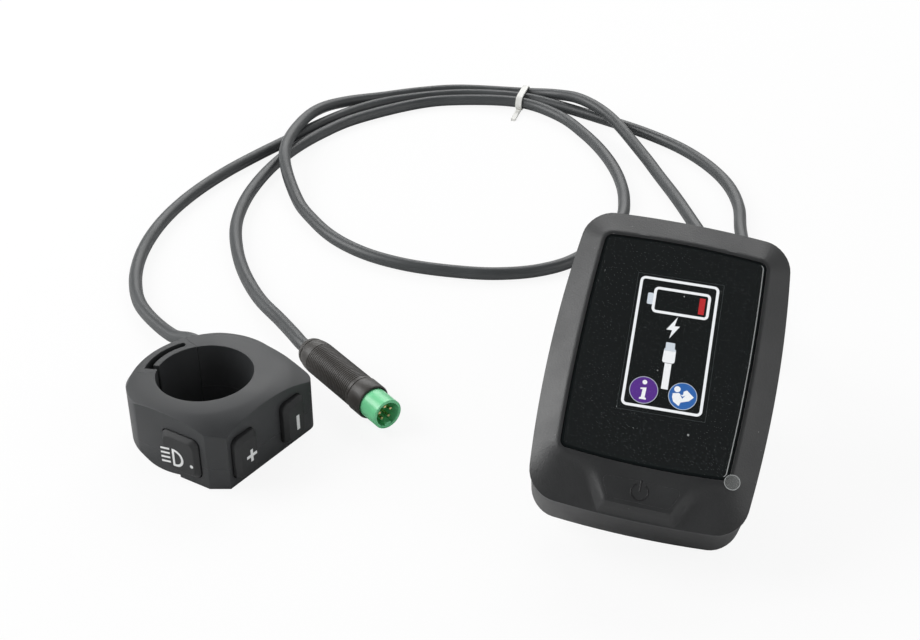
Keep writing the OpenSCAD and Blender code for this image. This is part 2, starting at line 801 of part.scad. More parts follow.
module cover_seal() {
  color("#141414")
    display_frame()
      difference() {
        slab(grown(rear_pts, -seal_in), split_z - seal_t, split_z);
        slab(grown(rear_pts, -seal_in - seal_w), split_z - seal_t - over, split_z + over);
      }
}

module rear_cover() {
  color("#4a4c4e")
    display_frame()
      difference() {
        union() {
          difference() {
            union() {
              slab(rear_pts, slant_z, split_z);
              hull() {
                slab(rear_pts, slant_z, slant_z + slice);
                slab(grown(rear_pts, -back_run), back_z, back_z + slice);
              }
            }
            slab(inner_pts, floor_z, split_z + over);
          }
          screw_spots()
            post([0, 0], post_r, floor_z, split_z);
          on_board(post_shares)
            post([0, 0], board_post_r, floor_z, board_low);
          for (sx = [-1, 1])
            for (sy = [-1, 1])
              post([sx * plate_screw_x, plate_rise + sy * plate_screw_y], post_r,
                floor_z, back_z + plate_screw_l + rear_floor);
        }
        screw_spots() {
          post([0, 0], cover_screw_r, back_z - over, split_z + over);
          post([0, 0], cover_head_r, back_z - over, back_z + cover_head_h);
        }
        for (sx = [-1, 1])
          for (sy = [-1, 1])
            post([sx * plate_screw_x, plate_rise + sy * plate_screw_y], plate_screw_r,
              back_z - over, back_z + plate_screw_l);
        for (x = boot_x)
          post([x, boot_y], boot_r, back_z - over, floor_z + over);
        difference() {
          slab(grown(rear_pts, -seal_in), split_z - seal_t, split_z + over);
          slab(grown(rear_pts, -seal_in - seal_w), split_z - seal_t - over, split_z + 2 * over);
        }
      }
}

module cover_screws() {
  color("#c3c6ca")
    display_frame()
      screw_spots()
        difference() {
          union() {
            post([0, 0], cover_head_r, back_z, back_z + cover_head_h);
            post([0, 0], cover_screw_r, back_z + cover_head_h, split_z + cover_head_h);
          }
          hexagon(cover_screw_r, back_z - over, back_z + cover_head_h / 2);
        }
}

module protective_film() {
  color("#cfe0e8", 0.3)
    display_frame()
      union() {
        lens_place()
          slab(grown(glass_pts, -film_inset), 0, film_t);
        post([lens_w / 2 - film_inset, lens_rise - lens_h / 2 + film_inset], film_tab_r, 0, film_t);
      }
}

module clamp_bracket() {
  color("#2e3032")
    display_frame()
      difference() {
        union() {
          translate([0, plate_rise, 0])
            slab(rounded(box_pts(plate_w, plate_h), body_corner / 2), back_z - plate_t, back_z);
          translate([0, bar_y, bar_z])
            rotate([0, 90, 0])
              translate([0, 0, -ring_w / 2])
                cylinder(h = ring_w, r = ring_out, $fn = fine);
          translate([-ear_w / 2, bar_y - web_low, bar_z + web_low])
            cube([ear_w, plate_rise + plate_h / 2 - web_end - bar_y + web_low,
              back_z - plate_t / 2 - bar_z - web_low]);
          ear_frame()
            translate([-ear_w / 2, ear_root, -slit / 2 - ear_t])
              cube([ear_w, ear_reach - ear_root, slit + 2 * ear_t]);
        }
        translate([0, bar_y, bar_z])
          rotate([0, 90, 0])
            translate([0, 0, -ring_w])
              cylinder(h = 2 * ring_w, r = bore, $fn = fine);
        ear_frame() {
          translate([-ring_w, bore / 2, -slit / 2])
            cube([2 * ring_w, ear_reach, slit]);
          translate([0, bolt_reach, 0]) {
            post([0, 0], bolt_r + bolt_gap, -ear_reach, ear_reach);
            rotate([0, 0, 90])
              hexagon(nut_af, slit / 2 + ear_t - nut_t, ear_reach);
          }
        }
        for (sx = [-1, 1])
          for (sy = [-1, 1])
            translate([sx * plate_screw_x, plate_rise + sy * plate_screw_y, 0]) {
              post([0, 0], plate_screw_r + bolt_gap, back_z - plate_t - over, back_z + over);
              post([0, 0], plate_head_r + bolt_gap, back_z - plate_t - over,
                back_z - plate_t + plate_head_h);
            }
      }
}

module bracket_screws() {
  color("#c3c6ca")
    display_frame()
      for (sx = [-1, 1])
        for (sy = [-1, 1])
          translate([sx * plate_screw_x, plate_rise + sy * plate_screw_y, 0])
            difference() {
              union() {
                post([0, 0], plate_head_r, back_z - plate_t, back_z - plate_t + plate_head_h);
                post([0, 0], plate_screw_r, back_z - plate_t + plate_head_h,
                  back_z + plate_screw_l);
              }
              hexagon(plate_screw_r, back_z - plate_t - over,
                back_z - plate_t + plate_head_h / 2);
            }
}

module clamp_bolt() {
  color("#3c3c3c")
    display_frame()
      ear_frame()
        translate([0, bolt_reach, 0])
          difference() {
            union() {
              post([0, 0], bolt_head_r, -slit / 2 - ear_t - bolt_head_h, -slit / 2 - ear_t);
              post([0, 0], bolt_r, -slit / 2 - ear_t, slit / 2 + ear_t);
            }
            hexagon(bolt_hex, -slit / 2 - ear_t - bolt_head_h - over,
              -slit / 2 - ear_t - bolt_head_h + bolt_hex_depth);
          }
}

module clamp_nut() {
  color("#c3c6ca")
    display_frame()
      ear_frame()
        translate([0, bolt_reach, 0])
          difference() {
            rotate([0, 0, 90])
              hexagon(nut_af, slit / 2 + ear_t - nut_t, slit / 2 + ear_t);
            post([0, 0], bolt_r, 0, ear_reach);
          }
}

module boot(x) {
  display_frame() {
    post([x, boot_y], boot_r + boot_collar, floor_z, floor_z + boot_collar);
    post([x, boot_y], boot_r, back_z, floor_z);
    translate([x, boot_y, back_z - boot_l])
      cylinder(h = boot_l, r1 = boot_tip_r, r2 = boot_r, $fn = small);
  }
}

module remote_cord_boot() {
  color("#202020")
    boot(boot_x[1]);
}

module plug_cord_boot() {
  color("#202020")
    boot(boot_x[0]);
}

// Outline of the two flat walls of the remote
end_corner = meet(dir(key_dir), key_wall, dir(back_dir), back_wall);
facet_a = meet(dir(light_dir), facet_wall, dir(facet_dir), facet_wall);
facet_b = meet(dir(key_dir), key_wall, dir(facet_dir), facet_wall);
back_end = back_wall * dir(back_dir);
wall_pts = concat([facet_a, facet_b], corner(facet_b, end_corner, back_end, end_r),
  [back_end, [0, 0]]);

module remote_form() {
  intersection() {
    union() {
      rotate([0, 0, seam_turn])
        rotate_extrude($fn = fine)
          polygon([[0, 0], [remote_r - foot_run, 0], [remote_r, foot_rise], [remote_r, remote_h],
            [0, remote_h]]);
      slab(wall_pts, 0, remote_h);
    }
    wall_frame(light_dir)
      translate([-4 * remote_r, -2 * remote_r, -over])
        cube([4 * remote_r + light_wall, 4 * remote_r, remote_h + 2 * over]);
    rotate([0, 0, seam_turn])
      rotate_extrude($fn = fine)
        polygon(concat([[0, -over], [dome_r[4], -over]],
          [for (i = [4:-1:0]) [dome_r[i], dome_z[i]]], [[0, dome_z[0]]]));
    translate([flank_x, -flank_y, 0])
      rotate([0, 0, seam_turn])
        rotate_extrude($fn = fine)
          polygon([[0, -over], [flank_r[2], -over], [flank_r[2], flank_z[2]],
            [flank_r[1], flank_z[1]], [flank_r[0], flank_z[0]], [0, flank_z[0]]]);
  }
}

module bore_cut() {
  translate([0, 0, -over])
    cylinder(h = remote_h + 2 * over, r = grip_bore_r, $fn = fine);
}

module jaw_wedge(gap) {
  start = spin(grip_bore_r * dir(jaw_to), gap / face_r * 180 / PI);
  far = remote_r * 2;
  slab([[0, 0], start, start + far * dir(jaw_to + jaw_skew),
    far * dir((jaw_from + jaw_to) / 2), far * dir(jaw_from)], -over, remote_h + over);
}

module key_shape(w, h, low, at, x0, x1) {
  translate([0, at, low + h / 2])
    rotate([0, 90, 0])
      slab(rounded(box_pts(h, w), key_corner), x0, x1);
}

module key_body(w, h, low, at, inner, face, flange_t) {
  key_shape(w + 2 * key_flange, h + 2 * key_flange, low - key_flange, at, inner - flange_t, inner);
  key_shape(w, h, low, at, inner, face - key_chamfer);
  hull() {
    key_shape(w, h, low, at, face - key_chamfer - slice, face - key_chamfer);
    key_shape(w - 2 * key_chamfer, h - 2 * key_chamfer, low + key_chamfer, at,
      face - slice, face);
  }
}

module key_window(w, h, low, at, inner) {
  key_shape(w + 2 * button_gap, h + 2 * button_gap, low - button_gap, at, inner - over,
    inner + 4 * shell_wall);
}

module rooms() {
  translate([0, 0, room_low])
    linear_extrude(room_top - room_low)
      difference() {
        union() {
          rotate(key_dir)
            translate([light_board_x, key_room[0]])
              square([key_inner - light_board_x, key_room[1] - key_room[0]]);
          rotate(light_dir)
            translate([light_board_x - over, light_room[0]])
              square([light_inner - light_board_x + over, light_room[1] - light_room[0]]);
        }
        circle(r = inner_r, $fn = fine);
      }
}

module shell_cuts() {
  bore_cut();
  jaw_wedge(0);
  rooms();
  wall_frame(key_dir) {
    key_window(key_w, key_h, key_low, plus_at, key_inner);
    key_window(key_w, key_h, key_low, minus_at, key_inner);
  }
  wall_frame(light_dir)
    key_window(light_w, light_h, light_low, light_at, light_inner);
  for (a = screw_dirs) {
    post(screw_ring * dir(a), shell_screw_r, -over, joint_line + shell_thread);
    post(screw_ring * dir(a), shell_head_r, -over, shell_head_h);
  }
}

module remote_upper_shell() {
  color("#5a5e60")
    remote_frame()
      difference() {
        remote_form();
        shell_cuts();
        translate([-dome_r[4] * 2, -dome_r[4] * 2, -over])
          cube([dome_r[4] * 4, dome_r[4] * 4, joint_line + over]);
        translate([0, 0, grommet_z])
          rotate([0, 90, grommet_dir])
            post([0, 0], grommet_r, grommet_in, grommet_out);
      }
}

module remote_lower_shell() {
  color("#505456")
    remote_frame()
      difference() {
        remote_form();
        shell_cuts();
        translate([-dome_r[4] * 2, -dome_r[4] * 2, joint_line])
          cube([dome_r[4] * 4, dome_r[4] * 4, remote_h]);
      }
}

module remote_clamp_jaw() {
  color("#585c5e")
    remote_frame()
      difference() {
        intersection() {
          remote_form();
          jaw_wedge(jaw_gap);
        }
        bore_cut();
        translate([0, 0, -over])
          rotate([0, 0, slot_to])
            rotate_extrude(angle = slot_from - slot_to, $fn = fine)
              translate([grip_bore_r + tongue_t, 0])
                square([slot_r - grip_bore_r - tongue_t, remote_h + 2 * over]);
        translate([0, 0, -over])
          rotate([0, 0, tongue_end])
            rotate_extrude(angle = slot_from - tongue_end, $fn = fine)
              translate([grip_bore_r - over, 0])
                square([slot_r - grip_bore_r + over, remote_h + 2 * over]);
        post((grip_bore_r + tongue_t + slot_r) / 2 * dir(slot_to),
          (slot_r - grip_bore_r - tongue_t) / 2, -over, remote_h + over);
        translate([0, 0, screw_z])
          rotate([0, 90, screw_dir]) {
            post([0, 0], insert_r, slot_r, slot_r + insert_l);
            post([0, 0], grub_r + bolt_gap, slot_r - over, remote_r + over);
          }
      }
}

module clamp_insert() {
  color("#c9a24a")
    remote_frame()
      translate([0, 0, screw_z])
        rotate([0, 90, screw_dir])
          difference() {
            post([0, 0], insert_r, slot_r, slot_r + insert_l);
            post([0, 0], grub_r + grub_gap, slot_r - over, slot_r + insert_l + over);
          }
}

module remote_clamp_screw() {
  color("#3c3c3c")
    remote_frame()
      translate([0, 0, screw_z])
        rotate([0, 90, screw_dir])
          difference() {
            post([0, 0], grub_r, grip_bore_r + tongue_t + tip_gap,
              grip_bore_r + tongue_t + tip_gap + grub_l);
            hexagon(grub_hex, grip_bore_r + tongue_t + tip_gap + grub_l - grub_hex_depth,
              remote_r + over);
          }
}

module side_key(at) {
  wall_frame(key_dir) {
    key_body(key_w, key_h, key_low, at, key_inner, key_wall + key_out, key_flange_t);
    translate([0, at, key_low + key_h / 2])
      rotate([0, 90, 0])
        post([0, 0], key_stem_r, key_inner - key_flange_t - key_stem_l,
          key_inner - key_flange_t);
  }
}

module plus_button() {
  color("#2c2e30")
    remote_frame()
      side_key(plus_at);
}

module minus_button() {
  color("#2c2e30")
    remote_frame()
      side_key(minus_at);
}

module light_button() {
  color("#2c2e30")
    remote_frame()
      wall_frame(light_dir)
        difference() {
          key_body(light_w, light_h, light_low, light_at, light_inner, light_wall + light_out,
            key_flange_t);
          translate([light_wall + light_out - lamp_l, lamp_y, lamp_z])
            rotate([0, 90, 0])
              post([0, 0], lamp_r, 0, remote_r);
        }
}

module status_light() {
  color("#e8f4ff")
    remote_frame()
      wall_frame(light_dir)
        translate([light_wall + light_out - lamp_l, lamp_y, lamp_z])
          rotate([0, 90, 0])
            post([0, 0], lamp_r, 0, lamp_l);
}

module key_board() {
  color("#1f6b3a")
    remote_frame()
      wall_frame(key_dir)
        translate([key_board_x, plus_at - key_board_end, board_z[0]])
          cube([small_board_t, minus_at - plus_at + 2 * key_board_end, board_z[1] - board_z[0]]);
}

module light_board() {
  color("#1f6b3a")
    remote_frame()
      wall_frame(light_dir)
        translate([light_board_x, light_board_y[0], board_z[0]])
          cube([small_board_t, light_board_y[1] - light_board_y[0], board_z[1] - board_z[0]]);
}

module key_switches() {
  color("#c3c6ca")
    remote_frame()
      wall_frame(key_dir)
        for (at = [plus_at, minus_at])
          translate([key_board_x + small_board_t, at, key_low + key_h / 2])
            rotate([0, 90, 0])
              cylinder(h = dome_h, r = dome_switch_r, $fn = small);
}

module light_switch() {
  color("#c3c6ca")
    remote_frame()
      wall_frame(light_dir)
        translate([light_board_x + small_board_t, light_switch_y, light_low + light_h / 2])
          rotate([0, 90, 0])
            cylinder(h = light_inner - key_flange_t - light_travel - tip_gap / 2
              - light_board_x - small_board_t, r = dome_switch_r, $fn = small);
}

module remote_grommet() {
  color("#202020")
    remote_frame()
      translate([0, 0, grommet_z])
        rotate([0, 90, grommet_dir]) {
          post([0, 0], grommet_r, grommet_in, remote_r + key_seat);
          translate([0, 0, remote_r + key_seat])
            cylinder(h = grommet_out - remote_r - key_seat, r1 = grommet_r, r2 = boot_tip_r,
              $fn = small);
        }
}

module shell_screws() {
  color("#c3c6ca")
    remote_frame()
      for (a = screw_dirs)
        translate(screw_ring * dir(a))
          difference() {
            union() {
              post([0, 0], shell_head_r, 0, shell_head_h);
              post([0, 0], shell_screw_r, shell_head_h, joint_line + shell_thread);
            }
            hexagon(shell_screw_r, -over, shell_head_h / 2);
          }
}

// Ends of both cords, where they meet the boots, the remote and the plug
boot_dir = leaned([0, 0, -1]);
lead = 2.5;
grommet_vec = dir(grommet_dir + remote_turn);
grommet_end = [remote_at.x + grommet_out * grommet_vec.x,
  remote_at.y + grommet_out * grommet_vec.y, grommet_z];
plug_vec = dir(plug_turn);
plug_z = barrel_r + collar_out;
plug_end = [plug_at.x, plug_at.y, plug_z];

function from_boot(x) = let (p = leaned([x, boot_y - bar_y, back_z - boot_l - bar_z])
  - [0, 0, table_z]) [p, p + lead * boot_dir];

module cord(points) {
  translate([0, 0, table_z])
    polyhedron(points = cord_pts(points, cord_r), faces = cord_faces(len(points)));
}

module remote_cord() {
  color("#55585a")
    cord(concat(from_boot(boot_x[1]), remote_route,
      [grommet_end + lead * [grommet_vec.x, grommet_vec.y, 0], grommet_end]));
}

module plug_cord() {
  color("#55585a")
    cord(concat(from_boot(boot_x[0]), plug_route,
      [plug_end - lead * [plug_vec.x, plug_vec.y, 0], plug_end]));
}

module tie_loop(r) {
  for (s = [-1, 1])
    translate([0, s * strand_step, 0])
      rotate([0, 90, 0])
        translate([0, 0, -tie_w / 2])
          cylinder(h = tie_w, r = r, $fn = small);
  translate([-tie_w / 2, -strand_step, -r])
    cube([tie_w, 2 * strand_step, 2 * r]);
}

module cord_tie() {
  inner = cord_r + tie_gap;
  outer = inner + tie_t;
  reach = sqrt(pow(outer, 2) - pow(outer - tail_h, 2)) - tie_t / 2;
  color("#f4f4f2")
    translate([tie_at.x, tie_at.y, table_z + tie_at.z])
      rotate([0, 0, tie_turn]) {
        difference() {
          tie_loop(outer);
          scale([2, 1, 1])
            tie_loop(inner);
        }
        translate([-tail_w / 2, -strand_step - reach - tie_tail, -outer])
          cube([tail_w, tie_tail, tail_h]);
        translate([0, strand_step + inner, -tail_h])
          cube([stub_l, tie_t + tail_h, tail_h]);
      }
}

plug_l = shoulder_l + barrel_l;

module plug_barrel() {
  color("#3b3836")
    plug_frame()
      difference() {
        rotate_extrude($fn = fine)
          polygon(concat([[0, 0]],
            [for (p = shoulder_shares) [p.x * barrel_r, p.y * shoulder_l]],
            [[barrel_r, plug_l - collar_l], [barrel_r + collar_out, plug_l - collar_l],
            [barrel_r + collar_out, plug_l], [0, plug_l]]));
        post([0, 0], nose_r - nose_step, plug_l - nose_in, plug_l + over);
        post([0, 0], nose_r + mouth_gap, plug_l - mouth_l, plug_l + over);
      }
}

module plug_insert() {
  root = plug_l - nose_in;
  tip = plug_l + nose_l;
  color("#96e6b4")
    plug_frame()
      difference() {
        union() {
          post([0, 0], nose_r - nose_step, root, plug_l);
          post([0, 0], nose_r, plug_l, tip);
        }
        difference() {
          post([0, 0], hollow_r, tip - hollow_l, tip + over);
          translate([hollow_r - rib_h, -rib_w / 2, tip - hollow_l - over])
            cube([2 * rib_h, rib_w, hollow_l + 2 * over]);
        }
        for (k = [0:pin_count - 1])
          post(pin_ring * dir(pin_turn + 360 * k / pin_count), pin_r, root - over, tip);
      }
}

module plug_pins() {
  root = plug_l - nose_in;
  tip = plug_l + nose_l;
  color("#d8b45a")
    plug_frame()
      for (k = [0:pin_count - 1])
        post(pin_ring * dir(pin_turn + 360 * k / pin_count), pin_r, root, tip - hollow_l + pin_l);
}

front_cover();
display_lens();
lens_tape();
lcd_panel();
lcd_carrier();
main_board();
board_parts();
power_button();
power_switch();
cover_seal();
rear_cover();
cover_screws();
protective_film();
clamp_bracket();
bracket_screws();
clamp_bolt();
clamp_nut();
remote_cord_boot();
plug_cord_boot();
remote_upper_shell();
remote_lower_shell();
remote_clamp_jaw();
remote_clamp_screw();
clamp_insert();
plus_button();
minus_button();
light_button();
status_light();
key_board();
light_board();
key_switches();
light_switch();
remote_grommet();
shell_screws();
remote_cord();
plug_cord();
cord_tie();
plug_barrel();
plug_insert();
plug_pins();
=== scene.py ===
"""Looks of an e-bike display with its ring remote, two cords and a plug.

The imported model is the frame. This script gives every piece its finish, draws the screen's
picture and the key signs, lays the cords as smooth lines and sets up the camera and the light.
"""

import json
import logging
import math
from dataclasses import dataclass, field
from enum import Enum

import bpy
import numpy as np
from mathutils import Matrix, Vector
from mathutils.geometry import delaunay_2d_cdt

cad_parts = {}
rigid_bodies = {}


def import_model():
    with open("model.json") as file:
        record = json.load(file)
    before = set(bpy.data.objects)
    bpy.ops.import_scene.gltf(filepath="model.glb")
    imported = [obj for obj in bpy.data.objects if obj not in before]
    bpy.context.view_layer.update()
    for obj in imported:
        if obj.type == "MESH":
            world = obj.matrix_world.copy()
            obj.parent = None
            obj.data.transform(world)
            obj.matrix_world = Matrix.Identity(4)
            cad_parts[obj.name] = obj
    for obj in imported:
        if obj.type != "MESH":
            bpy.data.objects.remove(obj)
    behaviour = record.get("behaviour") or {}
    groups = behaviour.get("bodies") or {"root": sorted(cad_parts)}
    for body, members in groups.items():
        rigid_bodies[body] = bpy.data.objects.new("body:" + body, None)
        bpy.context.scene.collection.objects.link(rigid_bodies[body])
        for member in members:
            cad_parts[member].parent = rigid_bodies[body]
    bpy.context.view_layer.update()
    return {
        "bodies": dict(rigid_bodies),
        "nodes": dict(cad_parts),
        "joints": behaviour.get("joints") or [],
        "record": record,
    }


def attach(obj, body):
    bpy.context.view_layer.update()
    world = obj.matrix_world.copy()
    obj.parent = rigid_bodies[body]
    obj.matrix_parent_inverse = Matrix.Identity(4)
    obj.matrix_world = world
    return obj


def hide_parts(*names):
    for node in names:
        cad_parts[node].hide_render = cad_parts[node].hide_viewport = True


LOG = logging.getLogger("e_bike_display")
MM = 0.001
# Split points closer than this, in metres, are joined, and edges over this many degrees are sharp
MERGE_DISTANCE = 2e-6
SHARP_ANGLE = 24

Point = tuple[float, float]
Place = tuple[float, float, float]
Colour = tuple[float, float, float]
Outline = list[Point]
Faces = list[tuple[int, ...]]
Shape = tuple[list[Place], Faces]
Bar = tuple[float, float, float, Point]
Nodes = dict[str, bpy.types.Object]
Socket = bpy.types.NodeSocket


# Places


@dataclass(frozen=True)
class Placing:
    """Where each sub-assembly stands in the row frame, in millimetres and degrees."""

    table_z: float = -18.28288
    tilt: float = 35.2
    roll: float = 5.4
    head_turn: float = 4.8
    bar_y: float = 24.190633
    bar_z: float = -37.95
    remote_x: float = -97.8
    remote_y: float = -50.27
    remote_turn: float = 17.5
    plug_x: float = -87.2
    plug_y: float = -16.57
    plug_z: float = 4.4
    plug_turn: float = -35.3

    def display(self) -> Matrix:
        """Places the display head.

        Returns:
            The matrix from display millimetres to row metres.
        """
        turn = (Matrix.Rotation(math.radians(self.head_turn), 4, "Z")
                @ Matrix.Rotation(math.radians(self.roll), 4, "Y")
                @ Matrix.Rotation(math.radians(self.tilt), 4, "X"))
        shift = Matrix.Translation((0, -self.bar_y, -self.bar_z))
        return Matrix.Scale(MM, 4) @ turn @ shift

    def remote(self) -> Matrix:
        """Places the remote.

        Returns:
            The matrix from remote millimetres to row metres.
        """
        shift = Matrix.Translation((self.remote_x, self.remote_y, self.table_z))
        turn = Matrix.Rotation(math.radians(self.remote_turn), 4, "Z")
        return Matrix.Scale(MM, 4) @ shift @ turn

    def wall(self, direction: float) -> Matrix:
        """Returns the matrix of a flat wall of the remote, whose x is the wall's outward side.

        Args:
            direction: The wall's outward direction in the remote's frame, in degrees.

        Returns:
            The matrix from wall millimetres to row metres.
        """
        return self.remote() @ Matrix.Rotation(math.radians(direction), 4, "Z")

    def plug(self) -> Matrix:
        """Places the plug, whose z runs from its cord end to its tip.

        Returns:
            The matrix from plug millimetres to row metres.
        """
        shift = Matrix.Translation((self.plug_x, self.plug_y, self.table_z + self.plug_z))
        turn = Matrix.Rotation(math.radians(self.plug_turn), 4, "Z")
        lay = Matrix.Rotation(math.radians(90), 4, "Y")
        return Matrix.Scale(MM, 4) @ shift @ turn @ lay


PLACING = Placing()


# Node wiring


class Wiring:
    """A short hand for building the node trees of materials and groups."""

    def __init__(self, tree: bpy.types.NodeTree) -> None:
        """Keeps the tree that nodes are added to."""
        self.tree = tree

    def add(self, kind: str, **values: object) -> bpy.types.Node:
        """Adds a node and sets its properties and unlinked sockets.

        Args:
            kind: Blender's name of the node type.
            values: Properties by name, and sockets by their name with _ for spaces.

        Returns:
            The new node.
        """
        node = self.tree.nodes.new(kind)
        own = {name: value for name, value in values.items() if hasattr(node, name)}
        for name, value in own.items():
            setattr(node, name, value)
        self.fix(node, **{name: value for name, value in values.items() if name not in own})
        return node

    @staticmethod
    def fix(node: bpy.types.Node, **values: object) -> None:
        """Sets a node's unlinked sockets.

        Args:
            node: The node.
            values: Values by the socket's name, with _ for spaces.
        """
        for name, value in values.items():
            node.inputs[name.replace("_", " ")].default_value = value

    def on_object(self, *nodes: bpy.types.Node) -> None:
        """Feeds the object's own coordinates to nodes.

        Args:
            nodes: Texture or mapping nodes.
        """
        where = self.add("ShaderNodeTexCoord")
        for node in nodes:
            self.link(where.outputs["Object"], node.inputs["Vector"])

    def link(self, source: Socket, target: Socket) -> None:
        """Links two sockets."""
        self.tree.links.new(source, target)

    def maths(self, kind: str, a: object, b: object = 0.0, c: object = 0.0) -> Socket:
        """Adds a Math node whose inputs are numbers or sockets.

        Args:
            kind: The operation.
            a: First input.
            b: Second input.
            c: Third input.

        Returns:
            The value socket.
        """
        node = self.add("ShaderNodeMath", operation=kind)
        for k, item in enumerate((a, b, c)):
            if isinstance(item, Socket):
                self.link(item, node.inputs[k])
            else:
                node.inputs[k].default_value = item
        return node.outputs[0]

    def spread(self, value: Socket, low: float, high: float,
               to_low: float = 0.0, to_high: float = 1.0) -> Socket:
        """Maps a value's range to another one, clamped.

        Args:
            value: The value.
            low: Start of its range.
            high: End of its range.
            to_low: What the start becomes.
            to_high: What the end becomes.

        Returns:
            The mapped value.
        """
        node = self.add("ShaderNodeMapRange", clamp=True, From_Min=low, From_Max=high,
                        To_Min=to_low, To_Max=to_high)
        self.link(value, node.inputs["Value"])
        return node.outputs["Result"]

    def blend(self, share: Socket, a: object, b: object) -> Socket:
        """Mixes two colours by a share.

        Args:
            share: How much of the second colour shows.
            a: First colour or socket.
            b: Second colour or socket.

        Returns:
            The mixed colour.
        """
        node = self.add("ShaderNodeMix", data_type="RGBA")
        self.link(share, node.inputs[0])
        for socket, item in ((node.inputs[6], a), (node.inputs[7], b)):
            if isinstance(item, Socket):
                self.link(item, socket)
            else:
                socket.default_value = (*item, 1.0)
        return node.outputs[2]

    def relief(self, height: Socket, strength: float, depth: float, rounding: float = 0.0,
               samples: int = 6) -> Socket:
        """Adds a bump, over rounded edges if a rounding is given.

        Args:
            height: The height that bumps.
            strength: How strong it is, from 0 to 1.
            depth: Its depth in metres.
            rounding: Radius of the rounded edges in metres.
            samples: Rays that look for an edge.

        Returns:
            The normal.
        """
        bump = self.add("ShaderNodeBump", Strength=strength, Distance=depth)
        self.link(height, bump.inputs["Height"])
        if rounding:
            soft = self.add("ShaderNodeBevel", samples=samples, Radius=rounding)
            self.link(soft.outputs["Normal"], bump.inputs["Normal"])
        return bump.outputs["Normal"]


class Effects:
    """Surface effects that several materials share, each a shader node group."""

    def __init__(self) -> None:
        """Builds each group once."""
        self.grain = self._grain()
        # A mask of the edges, which a painted highlight lightens
        self.edges = self._edge_highlight()
        self.dust = self._dust()
        self.strokes = self._strokes()

    @staticmethod
    def _group(name: str, takes: dict[str, float], gives: list[str]
               ) -> tuple[Wiring, bpy.types.Node, bpy.types.Node]:
        """Makes an empty group with number inputs and outputs.

        Args:
            name: The group's name.
            takes: Input names with their usual values.
            gives: Output names.

        Returns:
            The group's wiring, its input node and its output node.
        """
        tree = bpy.data.node_groups.new(name, "ShaderNodeTree")
        for socket, value in takes.items():
            made = tree.interface.new_socket(socket, in_out="INPUT", socket_type="NodeSocketFloat")
            made.default_value = value
        for socket in gives:
            tree.interface.new_socket(socket, in_out="OUTPUT", socket_type="NodeSocketFloat")
        w = Wiring(tree)
        return w, w.add("NodeGroupInput"), w.add("NodeGroupOutput")

    def _grain(self) -> bpy.types.NodeTree:
        """Spark-eroded grain of a moulding tool: pits over a soft unevenness.

        Returns:
            The group's tree.
        """
        w, take, give = self._group("moulded_grain", {"Scale": 3000.0}, ["Height", "Tone"])
        pits = w.add("ShaderNodeTexVoronoi", feature="SMOOTH_F1", Randomness=1.0, Smoothness=0.6)
        soft = w.add("ShaderNodeTexNoise", Detail=3.0, Roughness=0.6)
        patches = w.add("ShaderNodeTexNoise", Scale=70.0, Detail=4.0, Roughness=0.55)
        w.on_object(pits, soft, patches)
        w.link(take.outputs["Scale"], pits.inputs["Scale"])
        w.link(w.maths("MULTIPLY", take.outputs["Scale"], 0.55), soft.inputs["Scale"])
        height = w.maths("MULTIPLY_ADD", soft.outputs["Fac"], 0.7, pits.outputs["Distance"])
        w.link(height, give.inputs["Height"])
        w.link(w.spread(patches.outputs["Fac"], 0.35, 0.65), give.inputs["Tone"])
        return w.tree

    def _edge_highlight(self) -> bpy.types.NodeTree:
        """Painted highlights along edges, found where a rounded normal leaves the face's own.

        Returns:
            The group's tree.
        """
        w, take, give = self._group("painted_edge_highlight", {"Reach": 0.0004, "Strength": 1.0}, ["Mask"])
        rounded = w.add("ShaderNodeBevel", samples=6)
        face = w.add("ShaderNodeNewGeometry")
        dot = w.add("ShaderNodeVectorMath", operation="DOT_PRODUCT")
        w.link(take.outputs["Reach"], rounded.inputs["Radius"])
        w.link(rounded.outputs["Normal"], dot.inputs[0])
        w.link(face.outputs["Normal"], dot.inputs[1])
        turned = w.maths("SUBTRACT", 1.0, dot.outputs["Value"])
        mask = w.spread(turned, 0.01, 0.18)
        w.link(w.maths("MULTIPLY", mask, take.outputs["Strength"]), give.inputs["Mask"])
        return w.tree

    def _dust(self) -> bpy.types.NodeTree:
        """Loose specks of dust, of uneven size.

        Returns:
            The group's tree.
        """
        w, take, give = self._group("dust_specks", {"Scale": 900.0, "Size": 0.12, "Rarity": 9.0},
                                    ["Mask"])
        cells = w.add("ShaderNodeTexVoronoi", feature="F1")
        w.on_object(cells)
        w.link(take.outputs["Scale"], cells.inputs["Scale"])
        pick = w.add("ShaderNodeSeparateColor")
        w.link(cells.outputs["Color"], pick.inputs["Color"])
        rare = w.maths("POWER", pick.outputs["Red"], take.outputs["Rarity"])
        size = w.maths("MULTIPLY", rare, take.outputs["Size"])
        w.link(w.maths("LESS_THAN", cells.outputs["Distance"], size), give.inputs["Mask"])
        return w.tree

    def _strokes(self) -> bpy.types.NodeTree:
        """Long faint wiping strokes and hair scratches.

        Returns:
            The group's tree.
        """
        w, take, give = self._group("wiping_strokes", {"Scale": 260.0}, ["Mask"])
        turn = w.add("ShaderNodeMapping", Scale=(1.0, 0.045, 1.0),
                     Rotation=(math.radians(-39), 0.0, math.radians(9)))
        hair = w.add("ShaderNodeTexNoise", Detail=5.0, Roughness=0.75)
        w.link(turn.outputs["Vector"], hair.inputs["Vector"])
        w.link(w.maths("MULTIPLY", take.outputs["Scale"], 6.0), hair.inputs["Scale"])
        clouds = w.add("ShaderNodeTexNoise", Scale=90.0, Detail=3.0)
        w.on_object(turn, clouds)
        thin = w.spread(hair.outputs["Fac"], 0.60, 0.78)
        where_worn = w.spread(clouds.outputs["Fac"], 0.42, 0.7)
        w.link(w.maths("MULTIPLY", thin, where_worn), give.inputs["Mask"])
        return w.tree


# Finishes


